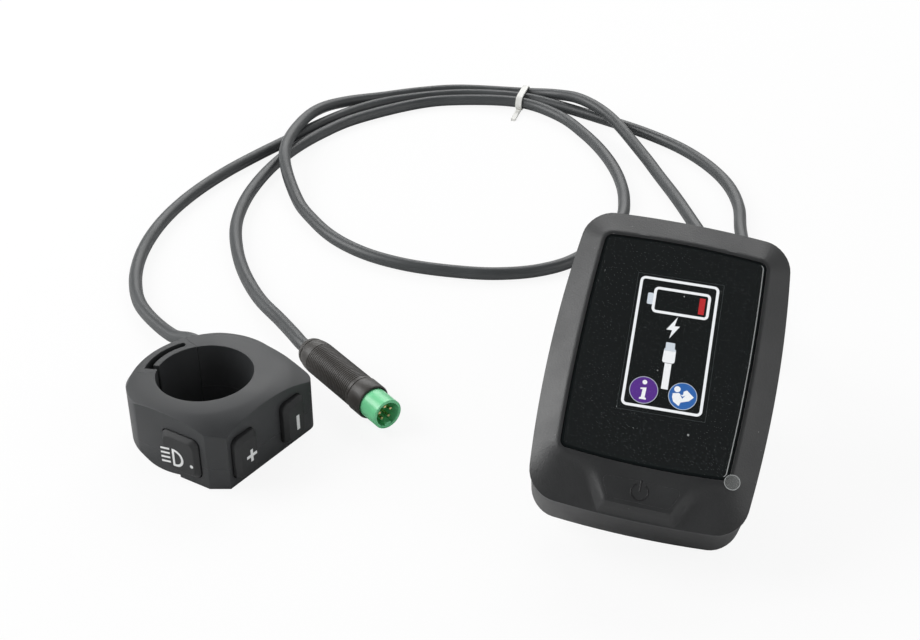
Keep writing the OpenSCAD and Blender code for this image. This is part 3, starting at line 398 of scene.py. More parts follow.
class Finish:
    """The stuff that pieces are made of. Each kind wires its own shader."""

    def build(self, name: str, effects: Effects) -> bpy.types.Material:
        """Makes the material.

        Args:
            name: Its name.
            effects: The shared effects.

        Returns:
            The material.
        """
        mat, w, bsdf = fresh_material(name)
        self.fill(w, bsdf, effects)
        return mat

    def fill(self, w: Wiring, bsdf: bpy.types.Node, effects: Effects) -> None:
        """Wires the shader.

        Args:
            w: The material's wiring.
            bsdf: Its Principled shader.
            effects: The shared effects.
        """
        raise NotImplementedError


@dataclass(frozen=True)
class Moulded(Finish):
    """A moulded plastic or rubber: its colour, gloss and grain, with a painted highlight along its
    edges.
    """

    colour: Colour
    roughness: float = 0.5
    specular: float = 0.5
    grain_scale: float = 3000.0
    grain_depth: float = 0.25
    edge_reach: float = 0.0003
    # Share of the painted highlight that lightens the edges
    edge_highlight_share: float = 0.25
    dust_share: float = 0.0
    uneven: float = 0.14
    gloss_change: float = 0.05
    dust: Colour = (0.42, 0.42, 0.41)

    def fill(self, w: Wiring, bsdf: bpy.types.Node, effects: Effects) -> None:
        """Wires a grainy skin with a painted highlight along its edges and, on some, dust.

        Args:
            w: The material's wiring.
            bsdf: Its Principled shader.
            effects: The shared effects.
        """
        w.fix(bsdf, Specular_IOR_Level=self.specular)
        grain = w.add("ShaderNodeGroup", node_tree=effects.grain, Scale=self.grain_scale)
        edges = w.add("ShaderNodeGroup", node_tree=effects.edges, Reach=self.edge_reach,
                      Strength=self.edge_highlight_share)
        dark = tuple(c * (1 - self.uneven) for c in self.colour)
        light = tuple(min(1.0, c * (1 + self.uneven)) for c in self.colour)
        # The edges are lightened towards this colour: a painted highlight
        highlight_colour = tuple(min(1.0, c * 2.2 + 0.03) for c in self.colour)
        body = w.blend(edges.outputs["Mask"], w.blend(grain.outputs["Tone"], dark, light), highlight_colour)
        if self.dust_share:
            dust = w.add("ShaderNodeGroup", node_tree=effects.dust, Size=self.dust_share)
            body = w.blend(dust.outputs["Mask"], body, self.dust)
        w.link(body, bsdf.inputs["Base Color"])
        rough = w.spread(grain.outputs["Tone"], 0.0, 1.0, self.roughness - self.gloss_change,
                         self.roughness + self.gloss_change)
        w.link(rough, bsdf.inputs["Roughness"])
        normal = w.relief(grain.outputs["Height"], self.grain_depth, 0.00006, self.edge_reach)
        w.link(normal, bsdf.inputs["Normal"])


@dataclass(frozen=True)
class Metal(Finish):
    """A plated or blackened metal with fine turning marks."""

    colour: Colour
    roughness: float = 0.3
    grain_scale: float = 6000.0
    edge_reach: float = 0.0001

    def fill(self, w: Wiring, bsdf: bpy.types.Node, effects: Effects) -> None:
        """Wires a metal whose gloss and tone change a little.

        Args:
            w: The material's wiring.
            bsdf: Its Principled shader.
            effects: The shared effects.
        """
        w.fix(bsdf, Metallic=1.0)
        grain = w.add("ShaderNodeGroup", node_tree=effects.grain, Scale=self.grain_scale)
        dull = tuple(c * 0.8 for c in self.colour)
        w.link(w.blend(grain.outputs["Tone"], dull, self.colour), bsdf.inputs["Base Color"])
        w.link(w.spread(grain.outputs["Tone"], 0.0, 1.0, self.roughness, self.roughness + 0.12),
               bsdf.inputs["Roughness"])
        normal = w.relief(grain.outputs["Height"], 0.12, 0.00003, self.edge_reach, 4)
        w.link(normal, bsdf.inputs["Normal"])


@dataclass(frozen=True)
class Glass(Finish):
    """The dark display window: a black printed glass with dust and wiping strokes on it."""

    colour: Colour = (0.0045, 0.0065, 0.0068)
    dirt: Colour = (0.05, 0.06, 0.06)
    dirt_share: float = 0.2
    specular: float = 0.25
    roughness: tuple[float, float] = (0.22, 0.35)

    def fill(self, w: Wiring, bsdf: bpy.types.Node, effects: Effects) -> None:
        """Wires a dark gloss that the strokes dull.

        Args:
            w: The material's wiring.
            bsdf: Its Principled shader.
            effects: The shared effects.
        """
        w.fix(bsdf, Specular_IOR_Level=self.specular)
        strokes = w.add("ShaderNodeGroup", node_tree=effects.strokes)
        share = w.maths("MULTIPLY", strokes.outputs["Mask"], self.dirt_share)
        w.link(w.blend(share, self.colour, self.dirt), bsdf.inputs["Base Color"])
        w.link(w.spread(strokes.outputs["Mask"], 0.0, 1.0, *self.roughness),
               bsdf.inputs["Roughness"])


@dataclass(frozen=True)
class ClearFilm(Finish):
    """The loose shipping film: nearly clear, with dust, scratches and a soft waviness."""

    clear: float = 0.008
    strokes: float = 0.13
    dirt: Colour = (0.62, 0.64, 0.64)
    roughness: float = 0.16
    dust_share: float = 0.6
    wave_scale: float = 95.0

    def fill(self, w: Wiring, bsdf: bpy.types.Node, effects: Effects) -> None:
        """Wires a veil that shows where strokes and dust lie.

        Args:
            w: The material's wiring.
            bsdf: Its Principled shader.
            effects: The shared effects.
        """
        strokes = w.add("ShaderNodeGroup", node_tree=effects.strokes)
        dust = w.add("ShaderNodeGroup", node_tree=effects.dust, Scale=460.0, Size=0.10, Rarity=9.0)
        veil = w.maths("MULTIPLY_ADD", strokes.outputs["Mask"], self.strokes, self.clear)
        specks = w.maths("MULTIPLY", dust.outputs["Mask"], self.dust_share)
        w.link(w.maths("MAXIMUM", veil, specks), bsdf.inputs["Alpha"])
        w.fix(bsdf, Base_Color=(*self.dirt, 1.0), Roughness=self.roughness)
        waves = w.add("ShaderNodeTexNoise", Scale=self.wave_scale, Detail=2.0)
        w.on_object(waves)
        w.link(w.relief(waves.outputs["Fac"], 0.25, 0.0006), bsdf.inputs["Normal"])


@dataclass(frozen=True)
class LitPrint(Finish):
    """A shape that the lit screen shows, or a sign printed on a key."""

    colour: Colour
    glow: float = 0.0
    grain_scale: float = 9000.0
    roughness: float = 0.45

    def fill(self, w: Wiring, bsdf: bpy.types.Node, effects: Effects) -> None:
        """Wires a flat colour that gives light by its glow.

        Args:
            w: The material's wiring.
            bsdf: Its Principled shader.
            effects: The shared effects.
        """
        grain = w.add("ShaderNodeGroup", node_tree=effects.grain, Scale=self.grain_scale)
        full = tuple(c * (1.0 - self.glow) for c in self.colour)
        faded = tuple(c * 0.9 for c in full)
        w.link(w.blend(grain.outputs["Tone"], faded, full), bsdf.inputs["Base Color"])
        w.fix(bsdf, Roughness=self.roughness)
        if self.glow:
            w.fix(bsdf, Emission_Color=(*self.colour, 1.0), Emission_Strength=self.glow)


class Shade(Enum):
    """The finishes, by the piece or stuff they stand for."""

    COVER = "cover_plastic"
    BACK = "back_plastic"
    REMOTE = "remote_plastic"
    KEY = "key_rubber"
    GLASS = "window_glass"
    FILM = "shipping_film"
    TAB = "film_tab"
    FILM_HIGHLIGHT = "painted_film_highlight"
    CORD = "cord_jacket"
    PLUG = "plug_jacket"
    INSERT = "green_insert"
    SEAL = "seal_rubber"
    BOARD = "circuit_board"
    CHIP = "board_chip"
    PANEL = "panel_glass"
    CARRIER = "carrier_plastic"
    STEEL = "zinc_steel"
    BLACK_STEEL = "black_steel"
    GOLD = "gold_pin"
    TIE = "tie_paper"
    LAMP = "lamp_lens"
    # Painted shade in the engraved power mark's groove
    GROOVE_SHADE = "painted_groove_shade"
    SIGN = "key_sign"
    WHITE = "screen_white"
    GREY = "screen_grey"
    FAINT = "screen_faint"
    RED = "screen_red"
    PURPLE = "screen_purple"
    BLUE = "screen_blue"


FINISHES: dict[Shade, Finish] = {
    Shade.COVER: Moulded((0.024, 0.025, 0.026), 0.46, 0.5, 2600.0, 0.32, 0.00012, 0.1, 0.07),
    Shade.BACK: Moulded((0.026, 0.027, 0.028), 0.5, 0.5, 2600.0, 0.3, 0.0004, 0.15),
    Shade.REMOTE: Moulded((0.031, 0.033, 0.035), 0.52, 0.5, 4200.0, 0.14, 0.0003, 0.3),
    Shade.KEY: Moulded((0.019, 0.020, 0.021), 0.55, 0.45, 5200.0, 0.10, 0.0005, 0.08),
    Shade.GLASS: Glass(),
    Shade.FILM: ClearFilm(),
    Shade.TAB: ClearFilm(0.12, 0.12, (0.50, 0.52, 0.51), 0.45),
    # Light strips on the film's edges: painted highlights
    Shade.FILM_HIGHLIGHT: ClearFilm(0.42, 0.2, (0.62, 0.64, 0.64), 0.4),
    Shade.CORD: Moulded((0.048, 0.052, 0.054), 0.44, 0.5, 2400.0, 0.12, 0.0001, 0.0),
    Shade.PLUG: Moulded((0.042, 0.038, 0.034), 0.46, 0.5, 3600.0, 0.16, 0.0001, 0.3),
    Shade.INSERT: Moulded((0.20, 0.74, 0.36), 0.32, 0.5, 2600.0, 0.06, 0.0001, 0.25),
    Shade.SEAL: Moulded((0.014, 0.014, 0.015), 0.6),
    Shade.BOARD: Moulded((0.012, 0.09, 0.04), 0.4, 0.5, 5000.0, 0.1),
    Shade.CHIP: Moulded((0.02, 0.02, 0.022), 0.5, 0.5, 6000.0, 0.15),
    Shade.PANEL: Moulded((0.02, 0.024, 0.028), 0.15, 0.5, 6000.0, 0.02),
    Shade.CARRIER: Moulded((0.5, 0.5, 0.48), 0.5),
    Shade.STEEL: Metal((0.62, 0.63, 0.64)),
    Shade.BLACK_STEEL: Metal((0.06, 0.06, 0.062), 0.4),
    Shade.GOLD: Metal((0.83, 0.66, 0.33), 0.22),
    Shade.TIE: Moulded((0.80, 0.80, 0.77), 0.55, 0.4, 2200.0, 0.3, 0.0001, 0.1),
    Shade.LAMP: LitPrint((0.80, 0.82, 0.82), 0.0),
    # Painted shade in the engraved power mark's groove
    Shade.GROOVE_SHADE: Moulded((0.006, 0.006, 0.007), 0.45, 0.5, 5000.0, 0.1),
    Shade.SIGN: LitPrint((0.86, 0.87, 0.87), 0.0),
    Shade.WHITE: LitPrint((0.88, 0.90, 0.92), 0.9),
    Shade.GREY: LitPrint((0.62, 0.68, 0.74), 0.9),
    Shade.FAINT: LitPrint((0.035, 0.042, 0.044), 0.5),
    Shade.RED: LitPrint((0.48, 0.014, 0.018), 0.9),
    Shade.PURPLE: LitPrint((0.085, 0.018, 0.24), 0.9),
    Shade.BLUE: LitPrint((0.02, 0.12, 0.40), 0.9),
}


def fresh_material(name: str) -> tuple[bpy.types.Material, Wiring, bpy.types.Node]:
    """Makes a material that holds only its shader and output.

    Args:
        name: The material's name.

    Returns:
        The material, its wiring and its Principled shader.
    """
    mat = bpy.data.materials.new(name)
    mat.use_nodes = True
    mat.node_tree.nodes.clear()
    w = Wiring(mat.node_tree)
    bsdf = w.add("ShaderNodeBsdfPrincipled")
    out = w.add("ShaderNodeOutputMaterial")
    w.link(bsdf.outputs["BSDF"], out.inputs["Surface"])
    return mat, w, bsdf


class Paint:
    """Hands out the finishes, each built once."""

    def __init__(self, effects: Effects) -> None:
        """Keeps the shared effects."""
        self.effects = effects
        self.made: dict[Shade, bpy.types.Material] = {}

    def get(self, shade: Shade) -> bpy.types.Material:
        """Gives the material of a finish, building it at its first use.

        Args:
            shade: The finish.

        Returns:
            The material.
        """
        if shade not in self.made:
            self.made[shade] = FINISHES[shade].build(shade.value, self.effects)
        return self.made[shade]

    def dress(self, obj: bpy.types.Object, shade: Shade) -> None:
        """Gives an object one finish all over, and reports it.

        Args:
            obj: The object.
            shade: Its finish.
        """
        obj.data.materials.clear()
        obj.data.materials.append(self.get(shade))
        LOG.info("%s is dressed in %s", obj.name, shade.value)


# Shapes


def in_scene(name: str, data: bpy.types.ID) -> bpy.types.Object:
    """Makes an object in the scene.

    Args:
        name: Its name.
        data: Its mesh, curve, lamp or camera.

    Returns:
        The object.
    """
    obj = bpy.data.objects.new(name, data)
    bpy.context.scene.collection.objects.link(obj)
    return obj


class Shapes:
    """Mesh building in a sub-assembly's own millimetres."""

    @staticmethod
    def mesh(name: str, shape: Shape, place: Matrix) -> bpy.types.Object:
        """Makes an object from points and faces.

        Args:
            name: The object's name.
            shape: Points in the sub-assembly's millimetres, and faces by point number.
            place: Matrix to row metres.

        Returns:
            The new object, in the scene.
        """
        verts, faces = shape
        data = bpy.data.meshes.new(name)
        data.from_pydata([place @ Vector(v) for v in verts], [], faces)
        data.validate()
        data.update()
        return in_scene(name, data)

    @staticmethod
    def prism(outline: Outline, low: float, high: float) -> Shape:
        """Extrudes a closed outline.

        Args:
            outline: The outline, counter-clockwise.
            low: Height of its underside.
            high: Height of its top.

        Returns:
            Points and faces.
        """
        n = len(outline)
        verts = [(x, y, low) for x, y in outline] + [(x, y, high) for x, y in outline]
        faces = [tuple(range(n - 1, -1, -1)), tuple(range(n, 2 * n))]
        faces += [(k, (k + 1) % n, n + (k + 1) % n, n + k) for k in range(n)]
        return verts, faces

    @staticmethod
    def band(outer: Outline, inner: Outline, low: float, high: float) -> Shape:
        """Extrudes the room between two outlines of as many points.

        Args:
            outer: The outer outline, counter-clockwise.
            inner: The inner outline, counter-clockwise.
            low: Height of the underside.
            high: Height of the top.

        Returns:
            Points and faces.
        """
        n = len(outer)
        verts = [(x, y, z) for z in (low, high) for ring in (outer, inner) for x, y in ring]
        faces = []
        ob, ib, ot, it = 0, n, 2 * n, 3 * n
        for k in range(n):
            m = (k + 1) % n
            faces.append((ot + k, ot + m, it + m, it + k))
            faces.append((ob + m, ob + k, ib + k, ib + m))
            faces.append((ob + k, ob + m, ot + m, ot + k))
            faces.append((ib + m, ib + k, it + k, it + m))
        return verts, faces

    @staticmethod
    def rounded(width: float, height: float, radius: float, centre: Point = (0.0, 0.0),
                steps: int = 6) -> Outline:
        """A rounded rectangle, counter-clockwise.

        Args:
            width: Its width.
            height: Its height.
            radius: Its corner radius.
            centre: Its centre.
            steps: Steps per corner.

        Returns:
            The outline.
        """
        pts = []
        for quarter, (sx, sy) in enumerate(((1, -1), (1, 1), (-1, 1), (-1, -1))):
            cx = centre[0] + sx * (width / 2 - radius)
            cy = centre[1] + sy * (height / 2 - radius)
            for k in range(steps + 1):
                a = math.radians(-90 + 90 * quarter + 90 * k / steps)
                pts.append((cx + radius * math.cos(a), cy + radius * math.sin(a)))
        return pts

    @staticmethod
    def sided(outline: Outline, step: float) -> Outline:
        """Adds points along the long sides of an outline.

        Args:
            outline: The outline.
            step: Longest side that stays whole.

        Returns:
            The outline with more points.
        """
        pts: Outline = []
        for (ax, ay), (bx, by) in zip(outline, outline[1:] + outline[:1]):
            n = max(1, math.ceil(math.hypot(bx - ax, by - ay) / step))
            pts += [(ax + (bx - ax) * k / n, ay + (by - ay) * k / n) for k in range(n)]
        return pts

    @staticmethod
    def circle(radius: float, centre: Point = (0.0, 0.0), steps: int = 48) -> Outline:
        """A circle, counter-clockwise."""
        return [(centre[0] + radius * math.cos(2 * math.pi * k / steps),
                 centre[1] + radius * math.sin(2 * math.pi * k / steps)) for k in range(steps)]

    @staticmethod
    def lathe(profile: Outline, steps: int = 72) -> Shape:
        """Turns a profile round the z axis into a closed solid.

        Args:
            profile: Radius and height pairs that go round a closed section. Zero radii are poles.
            steps: Steps round the axis.

        Returns:
            Points and faces.
        """
        verts: list[Place] = []
        rings: list[list[int]] = []
        for r, z in profile:
            if r <= 0:
                rings.append([len(verts)] * steps)
                verts.append((0.0, 0.0, z))
                continue
            rings.append([len(verts) + k for k in range(steps)])
            for k in range(steps):
                a = 2 * math.pi * k / steps
                verts.append((r * math.cos(a), r * math.sin(a), z))
        faces = []
        for j in range(len(rings)):
            a, b = rings[j], rings[(j + 1) % len(rings)]
            for k in range(steps):
                m = (k + 1) % steps
                face = []
                for i in (a[k], a[m], b[m], b[k]):
                    if i not in face:
                        face.append(i)
                if len(face) > 2:
                    faces.append(tuple(face))
        return verts, faces

    @staticmethod
    def gather(*parts: Shape) -> Shape:
        """Joins several shapes into one.

        Args:
            parts: The shapes.

        Returns:
            Points and faces.
        """
        verts: list[Place] = []
        faces: Faces = []
        for more, sides in parts:
            faces += [tuple(len(verts) + i for i in f) for f in sides]
            verts += more
        return verts, faces

    @staticmethod
    def smooth(obj: bpy.types.Object) -> None:
        """Shades an object's faces smoothly, with its sharp edges kept.

        Args:
            obj: The object.
        """
        for face in obj.data.polygons:
            face.use_smooth = True
        even_shading(obj)


class Sheet:
    """Filling of outlines with evenly spread triangles."""

    # Shares of the points' spacing: from row to row, and from a row to the outline
    ROW_PITCH = 0.87
    EDGE_ROOM = 0.45
    MERGE = 1e-5

    @staticmethod
    def inside(points: np.ndarray, outline: Outline) -> np.ndarray:
        """Finds the points inside an outline.

        Args:
            points: Points, one to a row.
            outline: The closed outline.

        Returns:
            True for each point inside.
        """
        x, y = points[:, 0], points[:, 1]
        hit = np.zeros(len(points), dtype=bool)
        for (ax, ay), (bx, by) in zip(outline, outline[1:] + outline[:1]):
            if ay != by:
                hit ^= ((ay > y) != (by > y)) & (x < (bx - ax) * (y - ay) / (by - ay) + ax)
        return hit

    @staticmethod
    def distance(points: np.ndarray, outline: Outline) -> np.ndarray:
        """Measures how far points lie from an outline.

        Args:
            points: Points, one to a row.
            outline: The closed outline.

        Returns:
            The distance of each point.
        """
        best = np.full(len(points), np.inf)
        for a, b in zip(outline, outline[1:] + outline[:1]):
            start, along = np.array(a), np.subtract(b, a)
            share = np.clip((points - start) @ along / max(along @ along, 1e-12), 0.0, 1.0)
            gap = points - start - share[:, None] * along
            best = np.minimum(best, np.hypot(gap[:, 0], gap[:, 1]))
        return best

    @classmethod
    def fill(cls, outer: Outline, holes: list[Outline], step: float
             ) -> tuple[np.ndarray, Faces]:
        """Fills an outline with holes.

        Args:
            outer: The outer outline.
            holes: The outlines of the holes.
            step: Spacing of the points, or nought for none.

        Returns:
            The points and the triangles, counter-clockwise.
        """
        loops = [outer, *holes]
        seeds = [p for loop in loops for p in loop]
        edges = []
        for loop in loops:
            start = edges[-1][0] + 1 if edges else 0
            edges += [(start + k, start + (k + 1) % len(loop)) for k in range(len(loop))]
        if step:
            xs, ys = zip(*outer)
            rows = np.arange(min(ys), max(ys), step * cls.ROW_PITCH)
            grid = np.array([(x + (row % 2) * step / 2, y) for row, y in enumerate(rows)
                             for x in np.arange(min(xs), max(xs), step)])
            keep = cls.inside(grid, outer)
            for loop in loops:
                keep &= cls.distance(grid, loop) > step * cls.EDGE_ROOM
            for hole in holes:
                keep &= ~cls.inside(grid, hole)
            seeds += [tuple(p) for p in grid[keep]]
        made = delaunay_2d_cdt([Vector(p) for p in seeds], edges, [], 0, cls.MERGE)
        points = np.array([(p.x, p.y) for p in made[0]])
        middle = np.array([points[list(face)].mean(axis=0) for face in made[2]])
        keep = cls.inside(middle, outer)
        for hole in holes:
            keep &= ~cls.inside(middle, hole)
        faces = []
        for face, kept in zip(made[2], keep):
            if kept:
                a, b, c = (points[i] for i in face)
                turn = (b[0] - a[0]) * (c[1] - a[1]) - (b[1] - a[1]) * (c[0] - a[0])
                faces.append(tuple(face) if turn > 0 else tuple(face[::-1]))
        return points, faces


def shading_tree() -> bpy.types.NodeTree:
    """Builds the modifier tree that joins split points and shades by edge angle.

    Returns:
        The geometry node tree.
    """
    found = bpy.data.node_groups.get("even_shading")
    if found:
        return found
    tree = bpy.data.node_groups.new("even_shading", "GeometryNodeTree")
    tree.is_modifier = True
    for way in ("INPUT", "OUTPUT"):
        tree.interface.new_socket("Geometry", in_out=way, socket_type="NodeSocketGeometry")
    w = Wiring(tree)
    take, give = w.add("NodeGroupInput"), w.add("NodeGroupOutput")
    join = w.add("GeometryNodeMergeByDistance")
    join.inputs["Distance"].default_value = MERGE_DISTANCE
    drop = w.add("GeometryNodeRemoveAttribute")
    drop.inputs["Name"].default_value = "custom_normal"
    faces = w.add("GeometryNodeSetShadeSmooth")
    faces.inputs["Shade Smooth"].default_value = True
    sharp = w.add("GeometryNodeSetShadeSmooth")
    sharp.domain = "EDGE"
    sharp.inputs["Shade Smooth"].default_value = False
    angle = w.add("GeometryNodeInputMeshEdgeAngle")
    test = w.add("FunctionNodeCompare", data_type="FLOAT", operation="GREATER_THAN")
    test.inputs[1].default_value = math.radians(SHARP_ANGLE)
    w.link(take.outputs[0], join.inputs["Geometry"])
    w.link(join.outputs[0], drop.inputs["Geometry"])
    w.link(drop.outputs[0], faces.inputs["Geometry"])
    w.link(faces.outputs[0], sharp.inputs["Geometry"])
    w.link(angle.outputs["Unsigned Angle"], test.inputs[0])
    w.link(test.outputs[0], sharp.inputs["Selection"])
    w.link(sharp.outputs[0], give.inputs[0])
    return tree


def even_shading(obj: bpy.types.Object) -> None:
    """Adds the even shading modifier to an object."""
    obj.modifiers.new("even_shading", "NODES").node_group = shading_tree()


@dataclass(frozen=True)
class Bench:
    """Where new pieces are made: their finishes, the CAD body they ride on and their place."""

    paint: Paint
    body: str
    place: Matrix

    def make(self, name: str, shape: Shape, shade: Shade, stands_for: str = ""
             ) -> bpy.types.Object:
        """Makes and dresses one piece.

        Args:
            name: Its name.
            shape: Its points and faces.
            shade: Its finish.
            stands_for: The CAD node that it takes the place of, if any.

        Returns:
            The piece.
        """
        piece = Shapes.mesh(name, shape, self.place)
        self.paint.dress(piece, shade)
        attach(piece, self.body)
        if stands_for:
            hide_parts(stands_for)
        return piece


# Cords


# Route points above the table, in millimetres, as the part's source has them
REMOTE_ROUTE: list[Place] = [
    (18.6, -28.9, 4.7), (18.2, -22.4, 2.2), (17.8, -12.0, 1.8), (17.8, 0.0, 1.8),
    (19.2, 12.0, 1.8), (21.2, 24.5, 1.8), (18.9, 39.5, 1.8), (14.7, 54.5, 1.8), (9.7, 67.5, 1.8),
    (6.2, 80.5, 1.8), (3.5, 94.5, 1.8), (-1.5, 107.0, 1.8), (-9.3, 118.0, 1.8),
    (-19.3, 127.3, 1.8), (-31.3, 134.5, 1.8), (-44.3, 140.0, 1.8), (-66.3, 146.8, 2.2),
    (-77.3, 148.5, 2.4), (-99.3, 145.2, 2.0), (-120.3, 132.4, 1.8), (-128.3, 122.7, 1.8),
    (-134.9, 110.1, 1.8), (-140.1, 96.5, 1.8), (-145.1, 83.5, 1.8), (-149.7, 69.5, 1.8),
    (-152.9, 54.5, 1.8), (-154.0, 40.5, 1.8), (-153.1, 27.5, 1.8), (-150.2, 14.5, 1.8),
    (-145.3, 2.7, 1.8), (-138.3, -7.5, 1.8), (-121.8, -21.1, 4.0), (-115.1, -24.7, 6.6)]
PLUG_ROUTE: list[Place] = [
    (11.2, -29.4, 5.0), (10.9, -22.8, 2.3), (10.9, -12.0, 1.8), (11.6, 0.0, 1.8),
    (12.8, 11.0, 1.8), (13.9, 22.5, 1.8), (11.7, 37.5, 1.8), (7.3, 51.5, 1.8), (1.1, 65.0, 1.8),
    (-6.8, 79.5, 1.8), (-14.8, 94.0, 1.8), (-22.7, 107.0, 1.9), (-30.3, 118.1, 3.0),
    (-45.8, 136.7, 5.9), (-56.8, 144.9, 6.3), (-66.5, 150.7, 4.1), (-77.3, 152.5, 2.4),
    (-100.7, 148.9, 2.0), (-112.3, 143.5, 1.8), (-123.0, 135.5, 2.0), (-131.5, 125.5, 3.6),
    (-136.3, 114.1, 5.4), (-137.9, 102.5, 5.8), (-134.7, 80.5, 5.6), (-121.9, 59.5, 1.9),
    (-113.3, 49.9, 1.8), (-103.3, 41.5, 1.8), (-91.8, 35.9, 1.8), (-79.3, 33.5, 1.8),
    (-66.3, 33.9, 1.8), (-53.8, 36.3, 1.8), (-42.9, 41.7, 1.8), (-34.9, 50.5, 1.8),
    (-27.9, 74.5, 1.8), (-29.5, 88.5, 1.8), (-34.3, 102.5, 1.8), (-41.7, 116.1, 1.8),
    (-51.3, 128.7, 1.8), (-62.3, 138.9, 2.1), (-76.9, 144.5, 2.4), (-99.7, 140.5, 1.9),
    (-109.9, 134.5, 1.8), (-126.1, 116.1, 1.8), (-131.7, 104.5, 1.8), (-135.5, 92.5, 1.8),
    (-137.5, 79.5, 1.8), (-137.7, 66.5, 1.8), (-136.3, 53.5, 1.8), (-132.9, 40.5, 1.8),
    (-127.3, 28.5, 1.8), (-119.7, 16.5, 1.8), (-109.9, 4.9, 1.9), (-99.7, -4.5, 2.8),
    (-93.3, -11.1, 4.0)]


@dataclass
class CordRun:
    """One free cord: its route above the table in millimetres, and what it ends in."""

    name: str
    node: str
    body: str
    points: list[Place]
    far_end: str
    with_pieces: list[str] = field(default_factory=list)
    diameter: float = 3.6
    line_step: float = 1.6

    def build(self, paint: Paint) -> None:
        """Lays the cord as a smooth curve over its CAD solid.

        Args:
            paint: The finishes.
        """
        data = bpy.data.curves.new(self.name, "CURVE")
        data.dimensions = "3D"
        data.bevel_depth = self.diameter / 2 * MM
        data.bevel_resolution = 5
        data.resolution_u = 8
        data.use_fill_caps = True
        line = self.line()
        spline = data.splines.new("POLY")
        spline.points.add(len(line) - 1)
        for point, at in zip(spline.points, line):
            point.co = (*at, 1.0)
        spline.use_smooth = True
        obj = in_scene(self.name, data)
        paint.dress(obj, Shade.CORD)
        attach(obj, self.body)
        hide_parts(self.node)

    def line(self) -> list[Vector]:
        """Smooths the route by centripetal splines.

        Returns:
            The centreline in row metres.
        """
        pts = [Vector((x, y, z + PLACING.table_z)) * MM for x, y, z in self.points]
        ghost = [2 * pts[0] - pts[1], *pts, 2 * pts[-1] - pts[-2]]
        line: list[Vector] = []
        for k in range(1, len(ghost) - 2):
            p0, p1, p2, p3 = ghost[k - 1:k + 3]
            t1 = (p1 - p0).length ** 0.5
            t2 = t1 + (p2 - p1).length ** 0.5
            t3 = t2 + (p3 - p2).length ** 0.5
            steps = max(3, round((p2 - p1).length / (self.line_step * MM)))
            for j in range(steps):
                t = t1 + (t2 - t1) * j / steps
                a1 = p0 * ((t1 - t) / t1) + p1 * (t / t1)
                a2 = p1 * ((t2 - t) / (t2 - t1)) + p2 * ((t - t1) / (t2 - t1))
                a3 = p2 * ((t3 - t) / (t3 - t2)) + p3 * ((t - t2) / (t3 - t2))
                b1 = a1 * ((t2 - t) / t2) + a2 * (t / t2)
                b2 = a2 * ((t3 - t) / (t3 - t1)) + a3 * ((t - t1) / (t3 - t1))
                line.append(b1 * ((t2 - t) / (t2 - t1)) + b2 * ((t - t1) / (t2 - t1)))
        line.append(pts[-1])
        return line


@dataclass
class Cords:
    """The remote's cord and the plug's cord."""

    boot_y: float = -8.0
    boot_end: float = -24.0
    boot_x: tuple[float, float] = (9.8, 17.2)
    lead: float = 2.5
    grommet: Place = (-109.8174, -30.6595, 8.5)
    grommet_turn: float = 121.5

    def from_boot(self, x: float) -> list[Place]:
        """Starts a cord straight out of its boot.

        Args:
            x: The boot's place across the display.

        Returns:
            The cord's first two points.
        """
        head = PLACING.display()
        table = Vector((0.0, 0.0, PLACING.table_z))
        ends = [head @ Vector((x, self.boot_y, self.boot_end - out)) / MM - table
                for out in (0.0, self.lead)]
        return [tuple(end) for end in ends]

    def into(self, at: Place, turn: float) -> list[Place]:
        """Ends a cord straight into what it joins.

        Args:
            at: The end point.
            turn: Direction from the end point back along the cord, in degrees.

        Returns:
            The cord's last two points.
        """
        a = math.radians(turn)
        back = (at[0] + self.lead * math.cos(a), at[1] + self.lead * math.sin(a), at[2])
        return [back, at]

    def build(self, paint: Paint, body: str) -> None:
        """Lays both cords.

        Args:
            paint: The finishes.
            body: The CAD body that they ride on.
        """
        remote = [*self.from_boot(self.boot_x[1]), *REMOTE_ROUTE,
                  *self.into(self.grommet, self.grommet_turn)]
        CordRun("cord_to_remote", "remote_cord", body, remote, "object").build(paint)
        end = (PLACING.plug_x, PLACING.plug_y, PLACING.plug_z)
        plug = [*self.from_boot(self.boot_x[0]), *PLUG_ROUTE,
                *self.into(end, PLACING.plug_turn + 180)]
        CordRun("cord_to_plug", "plug_cord", body, plug, "connector",
                ["plug_sleeve", "plug_insert", "plug_pins"]).build(paint)


# Plug


